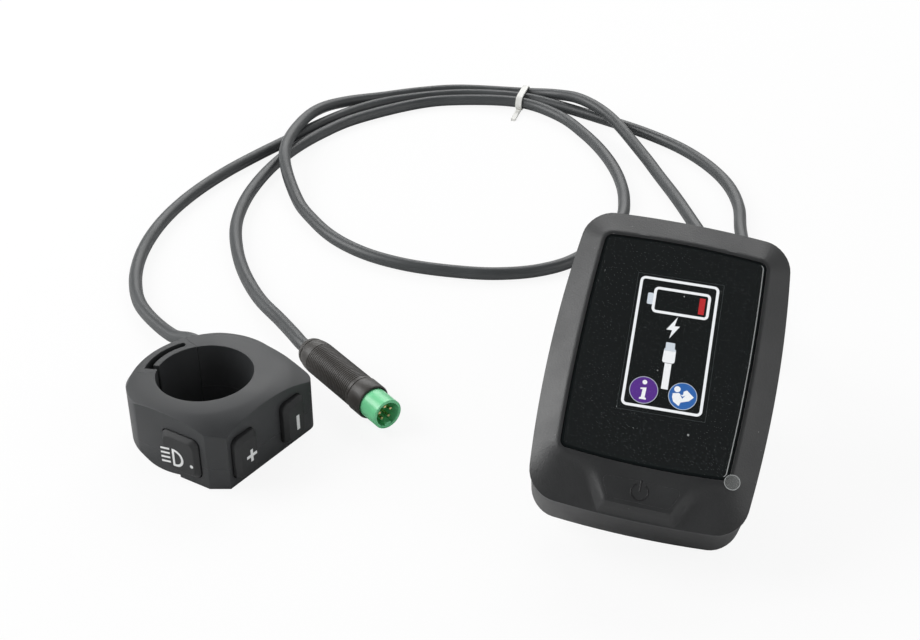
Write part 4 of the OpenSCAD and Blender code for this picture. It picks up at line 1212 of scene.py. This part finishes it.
@dataclass
class Plug:
    """The plug's ribbed sleeve, in millimetres. Its green insert and pins are CAD pieces."""

    shoulder: float = 4.4
    length: float = 29.1
    radius: float = 4.25
    collar: float = 4.7
    collar_out: float = 0.15
    nose: float = 3.75
    nose_in: float = 4.0
    mouth: float = 1.6
    mouth_gap: float = 0.25
    rib_pitch: float = 0.62
    rib_deep: float = 0.11
    groove: float = 0.2
    # Shares of the radius and of the shoulder's length, from the cord end on
    shoulder_shape: tuple[Point, ...] = (
        (0.0, 0.0), (0.5, 0.0), (0.72, 0.18), (0.80, 0.3), (0.86, 0.46), (0.875, 0.54),
        (0.85, 0.57), (0.85, 0.61), (0.89, 0.64), (0.93, 0.76), (0.96, 0.9), (0.985, 1.1),
        (1.0, 1.3))
    # Share of the rib's depth, and place along it
    rib_shape: tuple[Point, ...] = ((0.0, 0.0), (-1.0, 0.22), (-1.0, 0.36), (0.0, 0.58))

    def profile(self) -> Outline:
        """Draws the sleeve's section, with its rear groove, ribs and front collar.

        Returns:
            Radius and height pairs.
        """
        pts = [(x * self.radius, y * self.shoulder) for x, y in self.shoulder_shape]
        z = pts[-1][1] + 0.4
        end = self.length - self.collar - 0.3
        while z + self.rib_pitch < end:
            pts += [(self.radius + deep * self.rib_deep, z + along)
                    for deep, along in self.rib_shape]
            z += self.rib_pitch
        front = self.radius + self.collar_out
        bottom = self.radius - self.groove
        bore = self.nose + self.mouth_gap
        collar = [(self.radius, end + 0.05), (bottom, end + 0.12), (bottom, end + 0.3),
                  (front - 0.05, end + 0.36), (front, end + 0.5)]
        rim = [(front, 0.45), (front - 0.12, 0.15), (front - 0.4, 0.0), (bore, 0.0),
               (bore, self.mouth), (self.nose, self.mouth), (self.nose, self.nose_in),
               (0.0, self.nose_in)]
        return pts + collar + [(r, self.length - back) for r, back in rim]

    def build(self, paint: Paint, body: str) -> None:
        """Makes the sleeve.

        Args:
            paint: The finishes.
            body: The CAD body that it rides on.
        """
        shape = Shapes.lathe(self.profile())
        bench = Bench(paint, body, PLACING.plug())
        Shapes.smooth(bench.make("plug_sleeve", shape, Shade.PLUG, "plug_barrel"))
        LOG.info("plug sleeve has %d points", len(shape[0]))


# Display


# Outlines of the screen's picture in millimetres, from the picture's centre
BOLT: Outline = [(0.61, 6.48), (-1.41, 3.30), (-0.20, 3.32), (-0.55, 1.34), (1.31, 4.37),
                 (0.20, 4.29)]
LEAD_HOOD: Outline = [(-1.22, -1.42), (-1.30, -3.7), (-1.12, -4.02), (-0.85, -4.11),
                      (0.85, -4.11), (1.12, -4.02), (1.30, -3.7), (1.28, -1.42)]
LEAD_TIP: Outline = [(-1.22, -1.40), (1.28, -1.40), (1.24, -1.0), (0.95, -0.9), (0.90, 0.3),
                     (0.82, 0.47), (-0.95, 0.47), (-1.03, 0.3), (-0.98, -0.9), (-1.18, -1.0)]
# Bars of the picture: width, height, corner radius and centre
LEAD_BAR: Bar = (1.42, 5.75, 0.06, (0.04, -7.09))
CELL_NUB: Bar = (1.25, 2.62, 0.3, (-5.73, 9.76))
CELL_CHARGE: Bar = (1.22, 3.72, 0.06, (5.21, 9.68))
# Outlines of the discs' signs, from each disc's centre
INFO_STEM: Outline = [(-0.72, 0.10), (-0.26, 0.18), (-0.36, -1.55), (-0.70, -1.72),
                      (-0.72, -2.05), (0.70, -2.05), (0.72, -1.72), (0.40, -1.55), (0.52, 0.62),
                      (-0.72, 0.42)]
READER: Outline = [(-2.10, 0.35), (-2.14, -0.50), (-1.80, -1.45), (-0.55, -2.25),
                   (-0.25, -1.42), (1.40, -0.85), (2.30, 0.10), (1.30, 0.92), (0.72, 1.42),
                   (0.08, 1.05), (0.02, 0.30), (-0.42, 0.22), (-0.82, 0.58)]
READER_FOLD: Outline = [(-0.60, 0.28), (-0.02, -0.55), (0.52, 0.28), (0.0, -0.10)]


@dataclass
class ScreenPicture:
    """What the lit screen shows: a frame with a battery, a bolt, a lead and two discs."""

    centre: Point = (0.74, 4.08)
    turn: float = 2.44
    low: float = 0.004
    thick: float = 0.012
    apart: float = 0.002
    frame: Point = (16.85, 29.5)
    frame_corner: float = 1.2
    line: float = 0.58
    cell: Point = (12.1, 6.0)
    cell_at: Point = (0.87, 9.72)
    disc: float = 2.87
    disc_rim: float = 2.97
    dot: float = 0.50
    dot_up: float = 1.74
    head: float = 0.66
    head_at: Point = (-1.28, 1.36)
    info_at: Point = (-4.11, -10.88)
    manual_at: Point = (4.00, -10.88)
    active: Point = (18.4, 31.1)
    active_at: Point = (0.1, -0.2)
    active_line: float = 0.08

    def place(self) -> Matrix:
        """Returns the matrix from picture millimetres to row metres."""
        shift = Matrix.Translation((*self.centre, 0.0))
        return PLACING.display() @ shift @ Matrix.Rotation(math.radians(self.turn), 4, "Z")

    def layer(self, level: int) -> tuple[float, float]:
        """Returns the underside and top of a layer of the picture."""
        low = self.low + level * (self.thick + self.apart)
        return low, low + self.thick

    def build(self, paint: Paint, body: str) -> None:
        """Makes the whole picture.

        Args:
            paint: The finishes.
            body: The CAD body that it rides on.
        """
        s, z = Shapes, self.layer(0)
        bench = Bench(paint, body, self.place())
        (wide, tall), (cell_w, cell_h), line = self.frame, self.cell, self.line
        frame = s.band(s.rounded(wide, tall, self.frame_corner),
                       s.rounded(wide - 2 * line, tall - 2 * line, self.frame_corner - line), *z)
        cell = s.band(s.rounded(cell_w, cell_h, 1.05, self.cell_at),
                      s.rounded(cell_w - 2.05 * line, cell_h - 2.05 * line, 0.45, self.cell_at),
                      *z)
        lead, nub, charge = (s.prism(s.rounded(*bar), *z)
                             for bar in (LEAD_BAR, CELL_NUB, CELL_CHARGE))
        bench.make("screen_frame_lines", s.gather(frame, cell, s.prism(BOLT, *z)), Shade.WHITE)
        bench.make("screen_lead_sign", s.gather(lead, s.prism(LEAD_HOOD, *z)), Shade.WHITE)
        bench.make("screen_pale_signs", s.gather(nub, s.prism(LEAD_TIP, *z)), Shade.GREY)
        bench.make("screen_low_bar", charge, Shade.RED)
        self.discs(bench)
        (wide, tall), thin = self.active, 2 * self.active_line
        edge = s.band(s.rounded(wide, tall, 0.2, self.active_at),
                      s.rounded(wide - thin, tall - thin, 0.2, self.active_at), *z)
        bench.make("screen_active_edge", edge, Shade.FAINT)
        LOG.info("screen picture lies %.3f mm above the window", self.low)

    def discs(self, bench: Bench) -> None:
        """Makes the information disc and the manual disc with their signs.

        Args:
            bench: Where they are made.
        """
        s, top, over = Shapes, self.layer(1), self.layer(2)
        (ix, iy), (mx, my) = self.info_at, self.manual_at
        for at, shade, name in ((self.info_at, Shade.PURPLE, "screen_info_disc"),
                                (self.manual_at, Shade.BLUE, "screen_manual_disc")):
            disc = s.circle(self.disc, at)
            bench.make(name, s.prism(disc, *top), shade)
            bench.make(name + "_rim", s.band(s.circle(self.disc_rim, at), disc, *top), Shade.GREY)
        stem = s.prism([(ix + x, iy + y) for x, y in INFO_STEM], *over)
        dot = s.prism(s.circle(self.dot, (ix, iy + self.dot_up), 24), *over)
        bench.make("screen_info_sign", s.gather(stem, dot), Shade.WHITE)
        reader = s.prism([(mx + x, my + y) for x, y in READER], *over)
        head_at = (mx + self.head_at[0], my + self.head_at[1])
        head = s.prism(s.circle(self.head, head_at, 24), *over)
        bench.make("screen_manual_sign", s.gather(reader, head), Shade.WHITE)
        fold = s.prism([(mx + x, my + y) for x, y in READER_FOLD], *self.layer(3))
        bench.make("screen_manual_fold", fold, Shade.BLUE)


@dataclass(frozen=True)
class Barrel:
    """A rounded rectangle whose sides and ends bow outward, in display millimetres."""

    width: float
    height: float
    corner: float
    side_bow: float
    end_bow: float
    rise: float = 2.05

    def outline(self, step: float = 1.2, steps: int = 8) -> Outline:
        """Returns its outline, counter-clockwise.

        Args:
            step: Longest side that stays whole.
            steps: Steps per corner.

        Returns:
            The outline.
        """
        w, h = self.width, self.height
        flat = Shapes.sided(Shapes.rounded(w, h, self.corner, steps=steps), step)
        return [(x * (1 - 2 * self.side_bow / w * (2 * y / h) ** 2),
                 self.rise + y * (1 - 2 * self.end_bow / h * (2 * x / w) ** 2)) for x, y in flat]


@dataclass
class Film:
    """The clear film on the window, with its round pull tab."""

    sheet: Barrel = Barrel(35.0, 49.4, 0.9, 0.68, 0.78)
    low: float = 0.066
    thick: float = 0.05
    lift: float = 0.004
    tab: float = 1.65
    tab_at: Point = (18.2, -22.6)
    # Width of the painted highlight round the tab's rim
    tab_highlight_width: float = 0.16
    # Width of the painted highlight along the film's right edge
    film_edge_highlight_width: float = 0.208
    corner_reach: float = 1.2

    def build(self, paint: Paint, body: str) -> None:
        """Makes the film and its tab, with painted highlights on the tab's rim and along the
        film's right edge.

        Args:
            paint: The finishes.
            body: The CAD body that they ride on.
        """
        s, high = Shapes, self.low + self.thick
        over = (high + self.lift, high + self.thick)
        outline = self.sheet.outline(2.0, 6)
        right = self.sheet.width / 2 - self.corner_reach
        side = sorted((p for p in outline if p[0] > right), key=lambda p: p[1])
        inner = [(x - self.film_edge_highlight_width, y) for x, y in reversed(side)]
        ring, core = (s.circle(self.tab - inset, self.tab_at) for inset in (0.0, self.tab_highlight_width))
        bench = Bench(paint, body, PLACING.display())
        bench.make("clear_film", s.prism(outline, self.low, high), Shade.FILM, "protective_film")
        bench.make("film_tab", s.prism(core, *over), Shade.TAB)
        # Light strips round the tab and along the film's right edge: painted highlights
        bench.make("painted_film_highlight", s.band(ring, core, *over), Shade.FILM_HIGHLIGHT)
        bench.make("painted_film_edge_highlight", s.prism(side + inner, *over), Shade.FILM_HIGHLIGHT)


@dataclass
class HeadSkin:
    """The skin of the front cover, whose hump is blended in softly, and the key's pad in it."""

    body: Barrel = Barrel(48.2, 67.9, 6.0, 2.0, 1.1, 0.0)
    land: Barrel = Barrel(37.6, 52.0, 2.1, 0.7, 0.8)
    pocket: Barrel = Barrel(36.3, 50.7, 1.45, 0.7, 0.8)
    drop: float = 3.1
    low: float = -4.0
    # The hump: the two lines of its flanks, its front, back and sides, and their falls
    hump: tuple[Point, Point, Point, Point] = ((-8.6, -27.5), (-6.2, -32.2), (7.2, -32.2),
                                               (9.6, -27.5))
    front_y: float = -32.0
    front_slope: float = 2.2
    top_y: float = -23.4
    top_slope: float = 1.4
    reach: float = 16.9
    side_slope: float = 1.1
    flank_slope: float = 0.05
    flank_gain: float = 0.19
    soft: float = 0.7
    valley: float = 0.45
    # The power key's pad in it
    pad: tuple[Point, Point, Point, Point] = ((-8.1, -26.3), (-5.9, -31.0), (6.9, -31.0),
                                              (9.1, -26.3))
    pad_low: float = -1.2
    pad_corner: float = 1.1
    pad_steps: int = 8
    seam: float = 0.03
    skin_step: float = 0.5
    pad_step: float = 0.8

    def key_outline(self, grow: float) -> Outline:
        """Rounds the corners of the power key's pad.

        Args:
            grow: How far the outline lies outside the pad.

        Returns:
            The outline, counter-clockwise.
        """
        pts: Outline = []
        n, radius = len(self.pad), self.pad_corner
        for k, at in enumerate(self.pad):
            here = Vector(at)
            before, after = Vector(self.pad[k - 1]), Vector(self.pad[(k + 1) % n])
            a, b = (before - here).normalized(), (after - here).normalized()
            half = math.acos(a.dot(b)) / 2
            centre = here + (a + b).normalized() * radius / math.sin(half)
            first = here + a * radius / math.tan(half) - centre
            last = here + b * radius / math.tan(half) - centre
            for step in range(self.pad_steps + 1):
                spoke = first.slerp(last, step / self.pad_steps) * (1 + grow / radius)
                pts.append((centre.x + spoke.x, centre.y + spoke.y))
        return pts

    @staticmethod
    def ease(a: np.ndarray, b: np.ndarray, reach: float) -> np.ndarray:
        """Returns the larger of two heights, with a soft change between them."""
        share = np.clip(reach - np.abs(a - b), 0.0, None) / reach
        return np.maximum(a, b) + share * share * reach / 4

    def heights(self, points: np.ndarray) -> np.ndarray:
        """Gives the height of the skin: the bevels, and the hump that grows out of them.

        Args:
            points: Points in display millimetres, one to a row.

        Returns:
            The height of each.
        """
        land, body = self.land.outline(), self.body.outline()
        from_land = np.where(Sheet.inside(points, land), 0.0, Sheet.distance(points, land))
        to_body = Sheet.distance(points, body)
        slope = -self.drop * from_land / np.maximum(from_land + to_body, 1e-9)
        below = np.clip(self.land.rise - self.land.height / 2 - points[:, 1], 0.0, None)
        steep = self.flank_slope + self.flank_gain * below
        fall = self.ease(self.front_slope * (self.front_y - points[:, 1]),
                         self.top_slope * (points[:, 1] - self.top_y), self.soft)
        fall = self.ease(fall, self.side_slope * (np.abs(points[:, 0]) - self.reach), self.soft)
        left, low_left, low_right, right = (np.array(p) for p in self.hump)
        for top, foot, sign in ((left, low_left, 1.0), (right, low_right, -1.0)):
            along = (foot - top) / np.hypot(*(foot - top))
            out = (points - top) @ np.array((along[1], -along[0])) * sign
            fall = self.ease(fall, steep * out, self.soft)
        hump = -self.ease(fall, np.zeros(len(points)), self.soft)
        return np.minimum(self.ease(slope, hump, self.valley), 0.0)

    def solid(self, outer: Outline, holes: list[Outline], step: float, low: float) -> Shape:
        """Returns a closed shape whose top follows the skin.

        Args:
            outer: Its outline.
            holes: Its openings.
            step: Spacing of the points of its top.
            low: Height of its underside.

        Returns:
            Points and faces.
        """
        points, faces = Sheet.fill(outer, holes, step)
        verts: list[Place] = [(x, y, z) for (x, y), z in zip(points, self.heights(points))]
        flat, under = Sheet.fill(outer, holes, 0.0)
        faces += [tuple(len(verts) + i for i in face[::-1]) for face in under]
        verts += [(x, y, low) for x, y in flat]
        for turn, loop in [(1, outer), *((-1, hole) for hole in holes)]:
            top = self.heights(np.array(loop))
            start, n = len(verts), len(loop)
            verts += [(x, y, z) for (x, y), z in zip(loop, top)]
            verts += [(x, y, low) for x, y in loop]
            for k in range(n):
                m = (k + 1) % n
                side = (start + n + k, start + n + m, start + m, start + k)
                faces.append(side[::turn])
        return verts, faces

    def build(self, paint: Paint, body: str, key_body: str) -> None:
        """Makes the skin and the key's pad.

        Args:
            paint: The finishes.
            body: The CAD body of the head.
            key_body: The CAD body of the power key.
        """
        holes = [self.pocket.outline(), self.key_outline(self.seam)]
        cover = self.solid(self.body.outline(), holes, self.skin_step, self.low)
        pad = self.solid(self.key_outline(0.0), [], self.pad_step, self.pad_low)
        for rides, name, shape, node in ((body, "cover_skin", cover, "front_cover"),
                                         (key_body, "power_pad", pad, "power_button")):
            bench = Bench(paint, rides, PLACING.display())
            Shapes.smooth(bench.make(name, shape, Shade.COVER, node))


@dataclass
class PowerMark:
    """The engraved power mark, a broken ring and a bar, laid in a dark colour that paints the
    shade in its groove.
    """

    centre: Point = (0.42, -28.58)
    radius: float = 1.95
    stroke: float = 0.45
    bar: float = 2.57
    half_gap: float = 27.0
    steps: int = 40
    low: float = -0.06
    high: float = 0.006

    def arc(self, radius: float) -> Outline:
        """Draws one edge of the broken ring.

        Args:
            radius: The edge's radius.

        Returns:
            Its points, clockwise from the gap.
        """
        gap = math.radians(self.half_gap)
        turns = [gap + (2 * math.pi - 2 * gap) * k / self.steps for k in range(self.steps + 1)]
        x, y = self.centre
        return [(x + radius * math.sin(a), y + radius * math.cos(a)) for a in turns]

    def build(self, paint: Paint, body: str) -> None:
        """Lays the mark on the key.

        Args:
            paint: The finishes.
            body: The CAD body of the power key.
        """
        (x, y), half = self.centre, self.stroke / 2
        ring = self.arc(self.radius)[::-1] + self.arc(self.radius - self.stroke)
        bar = [(x - half, y), (x + half, y), (x + half, y + self.bar), (x - half, y + self.bar)]
        shape = Shapes.gather(*(Shapes.prism(line, self.low, self.high) for line in (ring, bar)))
        # Its dark colour is painted shade in the engraved groove
        Bench(paint, body, PLACING.display()).make("power_mark", shape, Shade.GROOVE_SHADE)


# Remote


class KeySign(Enum):
    """The sign on a key of the remote."""

    PLUS = "plus"
    MINUS = "minus"
    LAMP = "lamp"


@dataclass
class KeyFace:
    """One key of the remote: its CAD body, its wall and where its sign lies."""

    body: str
    sign: KeySign
    direction: float
    face: float
    across: float
    up: float


@dataclass
class Remote:
    """The signs on the ring remote's keys."""

    sign_in: float = 0.02
    sign_out: float = 0.03
    keys: list[KeyFace] = field(default_factory=lambda: [
        KeyFace("plus_key", KeySign.PLUS, -35.5, 20.0, -7.25, 6.9),
        KeyFace("minus_key", KeySign.MINUS, -35.5, 20.0, 8.4, 6.55),
        KeyFace("light_key", KeySign.LAMP, -121.0, 17.8, 3.95, 6.3)])

    def outlines(self, sign: KeySign) -> list[Outline]:
        """Returns a sign's outlines, x across the key and y up it.

        Args:
            sign: Which sign.

        Returns:
            Closed outlines in millimetres.
        """
        if sign is KeySign.MINUS:
            return [Shapes.rounded(0.95, 4.0, 0.12)]
        if sign is KeySign.PLUS:
            a, b = 0.38, 1.6
            return [[(-a, -b), (a, -b), (a, -a), (b, -a), (b, a), (a, a), (a, b), (-a, b),
                     (-a, a), (-b, a), (-b, -a), (-a, -a)]]
        arc = [(math.cos(math.radians(t)), math.sin(math.radians(t))) for t in range(-90, 91, 10)]
        bowl = ([(0.75 + 2.5 * x, 2.35 * y) for x, y in arc]
                + [(0.75 + 1.85 * x, 1.75 * y) for x, y in reversed(arc)])
        back = [(0.15, -2.35), (0.75, -2.35), (0.75, 2.35), (0.15, 2.35)]
        rays = [[(-3.15, y - 0.75), (-0.55, y - 0.25), (-0.55, y + 0.25), (-3.15, y - 0.25)]
                for y in (1.95, 0.75, -0.45, -1.65)]
        return [bowl, back, *rays]

    def build(self, paint: Paint) -> None:
        """Lays each key's sign on its face.

        Args:
            paint: The finishes.
        """
        for key in self.keys:
            parts = []
            for outline in self.outlines(key.sign):
                pts = [(key.across + x, key.up + y) for x, y in outline]
                verts, faces = Shapes.prism(pts, key.face - self.sign_in, key.face + self.sign_out)
                parts.append(([(z, x, y) for x, y, z in verts], faces))
            bench = Bench(paint, key.body, PLACING.wall(key.direction))
            bench.make(f"{key.sign.value}_sign", Shapes.gather(*parts), Shade.SIGN)
        LOG.info("remote: %d signs", len(self.keys))


# Stage


@dataclass(frozen=True)
class Softbox:
    """One soft lamp: its place, aim and size in metres, and its power in watts."""

    name: str
    at: Place
    towards: Place
    size: Point
    power: float

    def build(self) -> None:
        """Makes the lamp and turns it to what it lights."""
        data = bpy.data.lights.new(self.name, "AREA")
        data.shape = "RECTANGLE"
        data.size, data.size_y = self.size
        data.energy = self.power
        obj = in_scene(self.name, data)
        obj.location = self.at
        aim = Vector(self.towards) - Vector(self.at)
        obj.rotation_euler = aim.to_track_quat("-Z", "Y").to_euler()


SOFTBOXES = (
    Softbox("left_softbox", (-0.85, -0.15, 0.55), (0.0, 0.0, 0.0), (0.6, 0.6), 8.0),
    Softbox("back_softbox", (-0.25, 0.85, 0.62), (-0.05, 0.03, 0.0), (1.0, 0.5), 6.0),
    Softbox("right_softbox", (0.85, -0.05, 0.5), (0.0, 0.0, 0.0), (0.6, 0.5), 1.7),
)


@dataclass
class Studio:
    """The camera, the pale table, the surroundings and the soft lamps."""

    eye: Place = (42.376, -301.207, 193.717)
    heading: Point = (-0.3007, 0.9537)
    pitch: float = 32.7
    focal_px: float = 1500.0
    frame_px: float = 920.0
    sensor: float = 36.0
    clip: Point = (0.01, 20.0)
    table_half: float = 3000.0
    table_drop: float = 0.02
    table_white: float = 0.86
    table_glow: float = 0.9
    horizon: float = 0.6
    zenith: float = 0.1

    def camera(self) -> None:
        """Makes the camera that stands where the photograph was taken from."""
        data = bpy.data.cameras.new("camera")
        data.sensor_width = self.sensor
        data.lens = self.focal_px / self.frame_px * self.sensor
        data.clip_start, data.clip_end = self.clip
        cam = in_scene("camera", data)
        hx, hy = self.heading
        size = math.hypot(hx, hy)
        fall = math.radians(self.pitch)
        look = Vector((hx / size * math.cos(fall), hy / size * math.cos(fall), -math.sin(fall)))
        cam.location = Vector(self.eye) * MM
        cam.rotation_euler = look.to_track_quat("-Z", "Y").to_euler()
        bpy.context.scene.camera = cam

    def floor(self) -> None:
        """Makes the pale table top, which reads as white and keeps the soft shadow."""
        z, size = PLACING.table_z - self.table_drop, self.table_half
        verts = [(-size, -size, z), (size, -size, z), (size, size, z), (-size, size, z)]
        obj = Shapes.mesh("table_top", (verts, [(0, 1, 2, 3)]), Matrix.Scale(MM, 4))
        mat, w, bsdf = fresh_material("table_white")
        w.fix(bsdf, Base_Color=(*3 * (self.table_white,), 1.0), Roughness=0.9,
              Specular_IOR_Level=0.1)
        glow = w.add("ShaderNodeEmission", Strength=1.0)
        ray = w.add("ShaderNodeLightPath")
        mix = w.add("ShaderNodeMixShader")
        both = w.maths("MAXIMUM", ray.outputs["Is Camera Ray"], ray.outputs["Is Transmission Ray"])
        w.link(w.maths("MULTIPLY", both, self.table_glow), mix.inputs["Fac"])
        out = next(n for n in mat.node_tree.nodes if n.type == "OUTPUT_MATERIAL")
        w.link(bsdf.outputs["BSDF"], mix.inputs[1])
        w.link(glow.outputs["Emission"], mix.inputs[2])
        w.link(mix.outputs["Shader"], out.inputs["Surface"])
        obj.data.materials.append(mat)

    def world(self) -> None:
        """Makes the even white surroundings, dimmer overhead than round the table."""
        world = bpy.data.worlds.new("surroundings")
        world.use_nodes = True
        back = world.node_tree.nodes["Background"]
        w = Wiring(world.node_tree)
        w.fix(back, Color=(1.0, 1.0, 1.0, 1.0))
        where = w.add("ShaderNodeTexCoord")
        split = w.add("ShaderNodeSeparateXYZ")
        w.link(where.outputs["Generated"], split.inputs[0])
        level = w.spread(split.outputs["Z"], 0.25, 0.95, self.horizon, self.zenith)
        ray = w.add("ShaderNodeLightPath")
        seen = w.maths("MAXIMUM", level, ray.outputs["Is Camera Ray"])
        w.link(seen, back.inputs["Strength"])
        bpy.context.scene.world = world

    def build(self) -> None:
        """Makes the floor, the surroundings and the lamps."""
        self.floor()
        self.world()
        for softbox in SOFTBOXES:
            softbox.build()
        view = bpy.context.scene.view_settings
        view.view_transform = "Standard"
        LOG.info("studio is set")


# Main


# The finish of each CAD node that shows itself
DRESSED: dict[Shade, tuple[str, ...]] = {
    Shade.BACK: ("rear_cover", "clamp_bracket"),
    Shade.GLASS: ("display_lens",),
    Shade.SEAL: ("cover_seal", "lens_tape", "remote_cord_boot", "plug_cord_boot",
                 "remote_grommet"),
    Shade.PANEL: ("lcd_panel",),
    Shade.CARRIER: ("lcd_carrier",),
    Shade.BOARD: ("main_board", "key_board", "light_board"),
    Shade.CHIP: ("board_parts", "power_switch"),
    Shade.STEEL: ("cover_screws", "bracket_screws", "clamp_nut", "key_switches", "light_switch",
                  "shell_screws"),
    Shade.BLACK_STEEL: ("clamp_bolt", "remote_clamp_screw"),
    Shade.REMOTE: ("remote_upper_shell", "remote_lower_shell", "remote_clamp_jaw"),
    Shade.KEY: ("plus_button", "minus_button", "light_button"),
    Shade.LAMP: ("status_light",),
    Shade.GOLD: ("clamp_insert", "plug_pins"),
    Shade.INSERT: ("plug_insert",),
    Shade.TIE: ("cord_tie",),
}


def dress_nodes(nodes: Nodes, paint: Paint) -> None:
    """Gives each CAD node that shows its finish.

    Args:
        nodes: The CAD nodes by name.
        paint: The finishes.
    """
    for shade, names in DRESSED.items():
        for name in names:
            paint.dress(nodes[name], shade)
            even_shading(nodes[name])
    LOG.info("%d CAD nodes dressed", sum(len(names) for names in DRESSED.values()))


def main() -> None:
    """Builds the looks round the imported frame."""
    logging.basicConfig(level=logging.INFO, format="%(name)s: %(message)s")
    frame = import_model()
    studio = Studio()
    studio.camera()
    paint = Paint(Effects())
    root, key = "display_and_remote", "power_key"
    Plug().build(paint, root)
    Cords().build(paint, root)
    dress_nodes(frame["nodes"], paint)
    HeadSkin().build(paint, root, key)
    ScreenPicture().build(paint, root)
    Film().build(paint, root)
    PowerMark().build(paint, key)
    Remote().build(paint)
    studio.build()


if __name__ == "__main__":
    main()
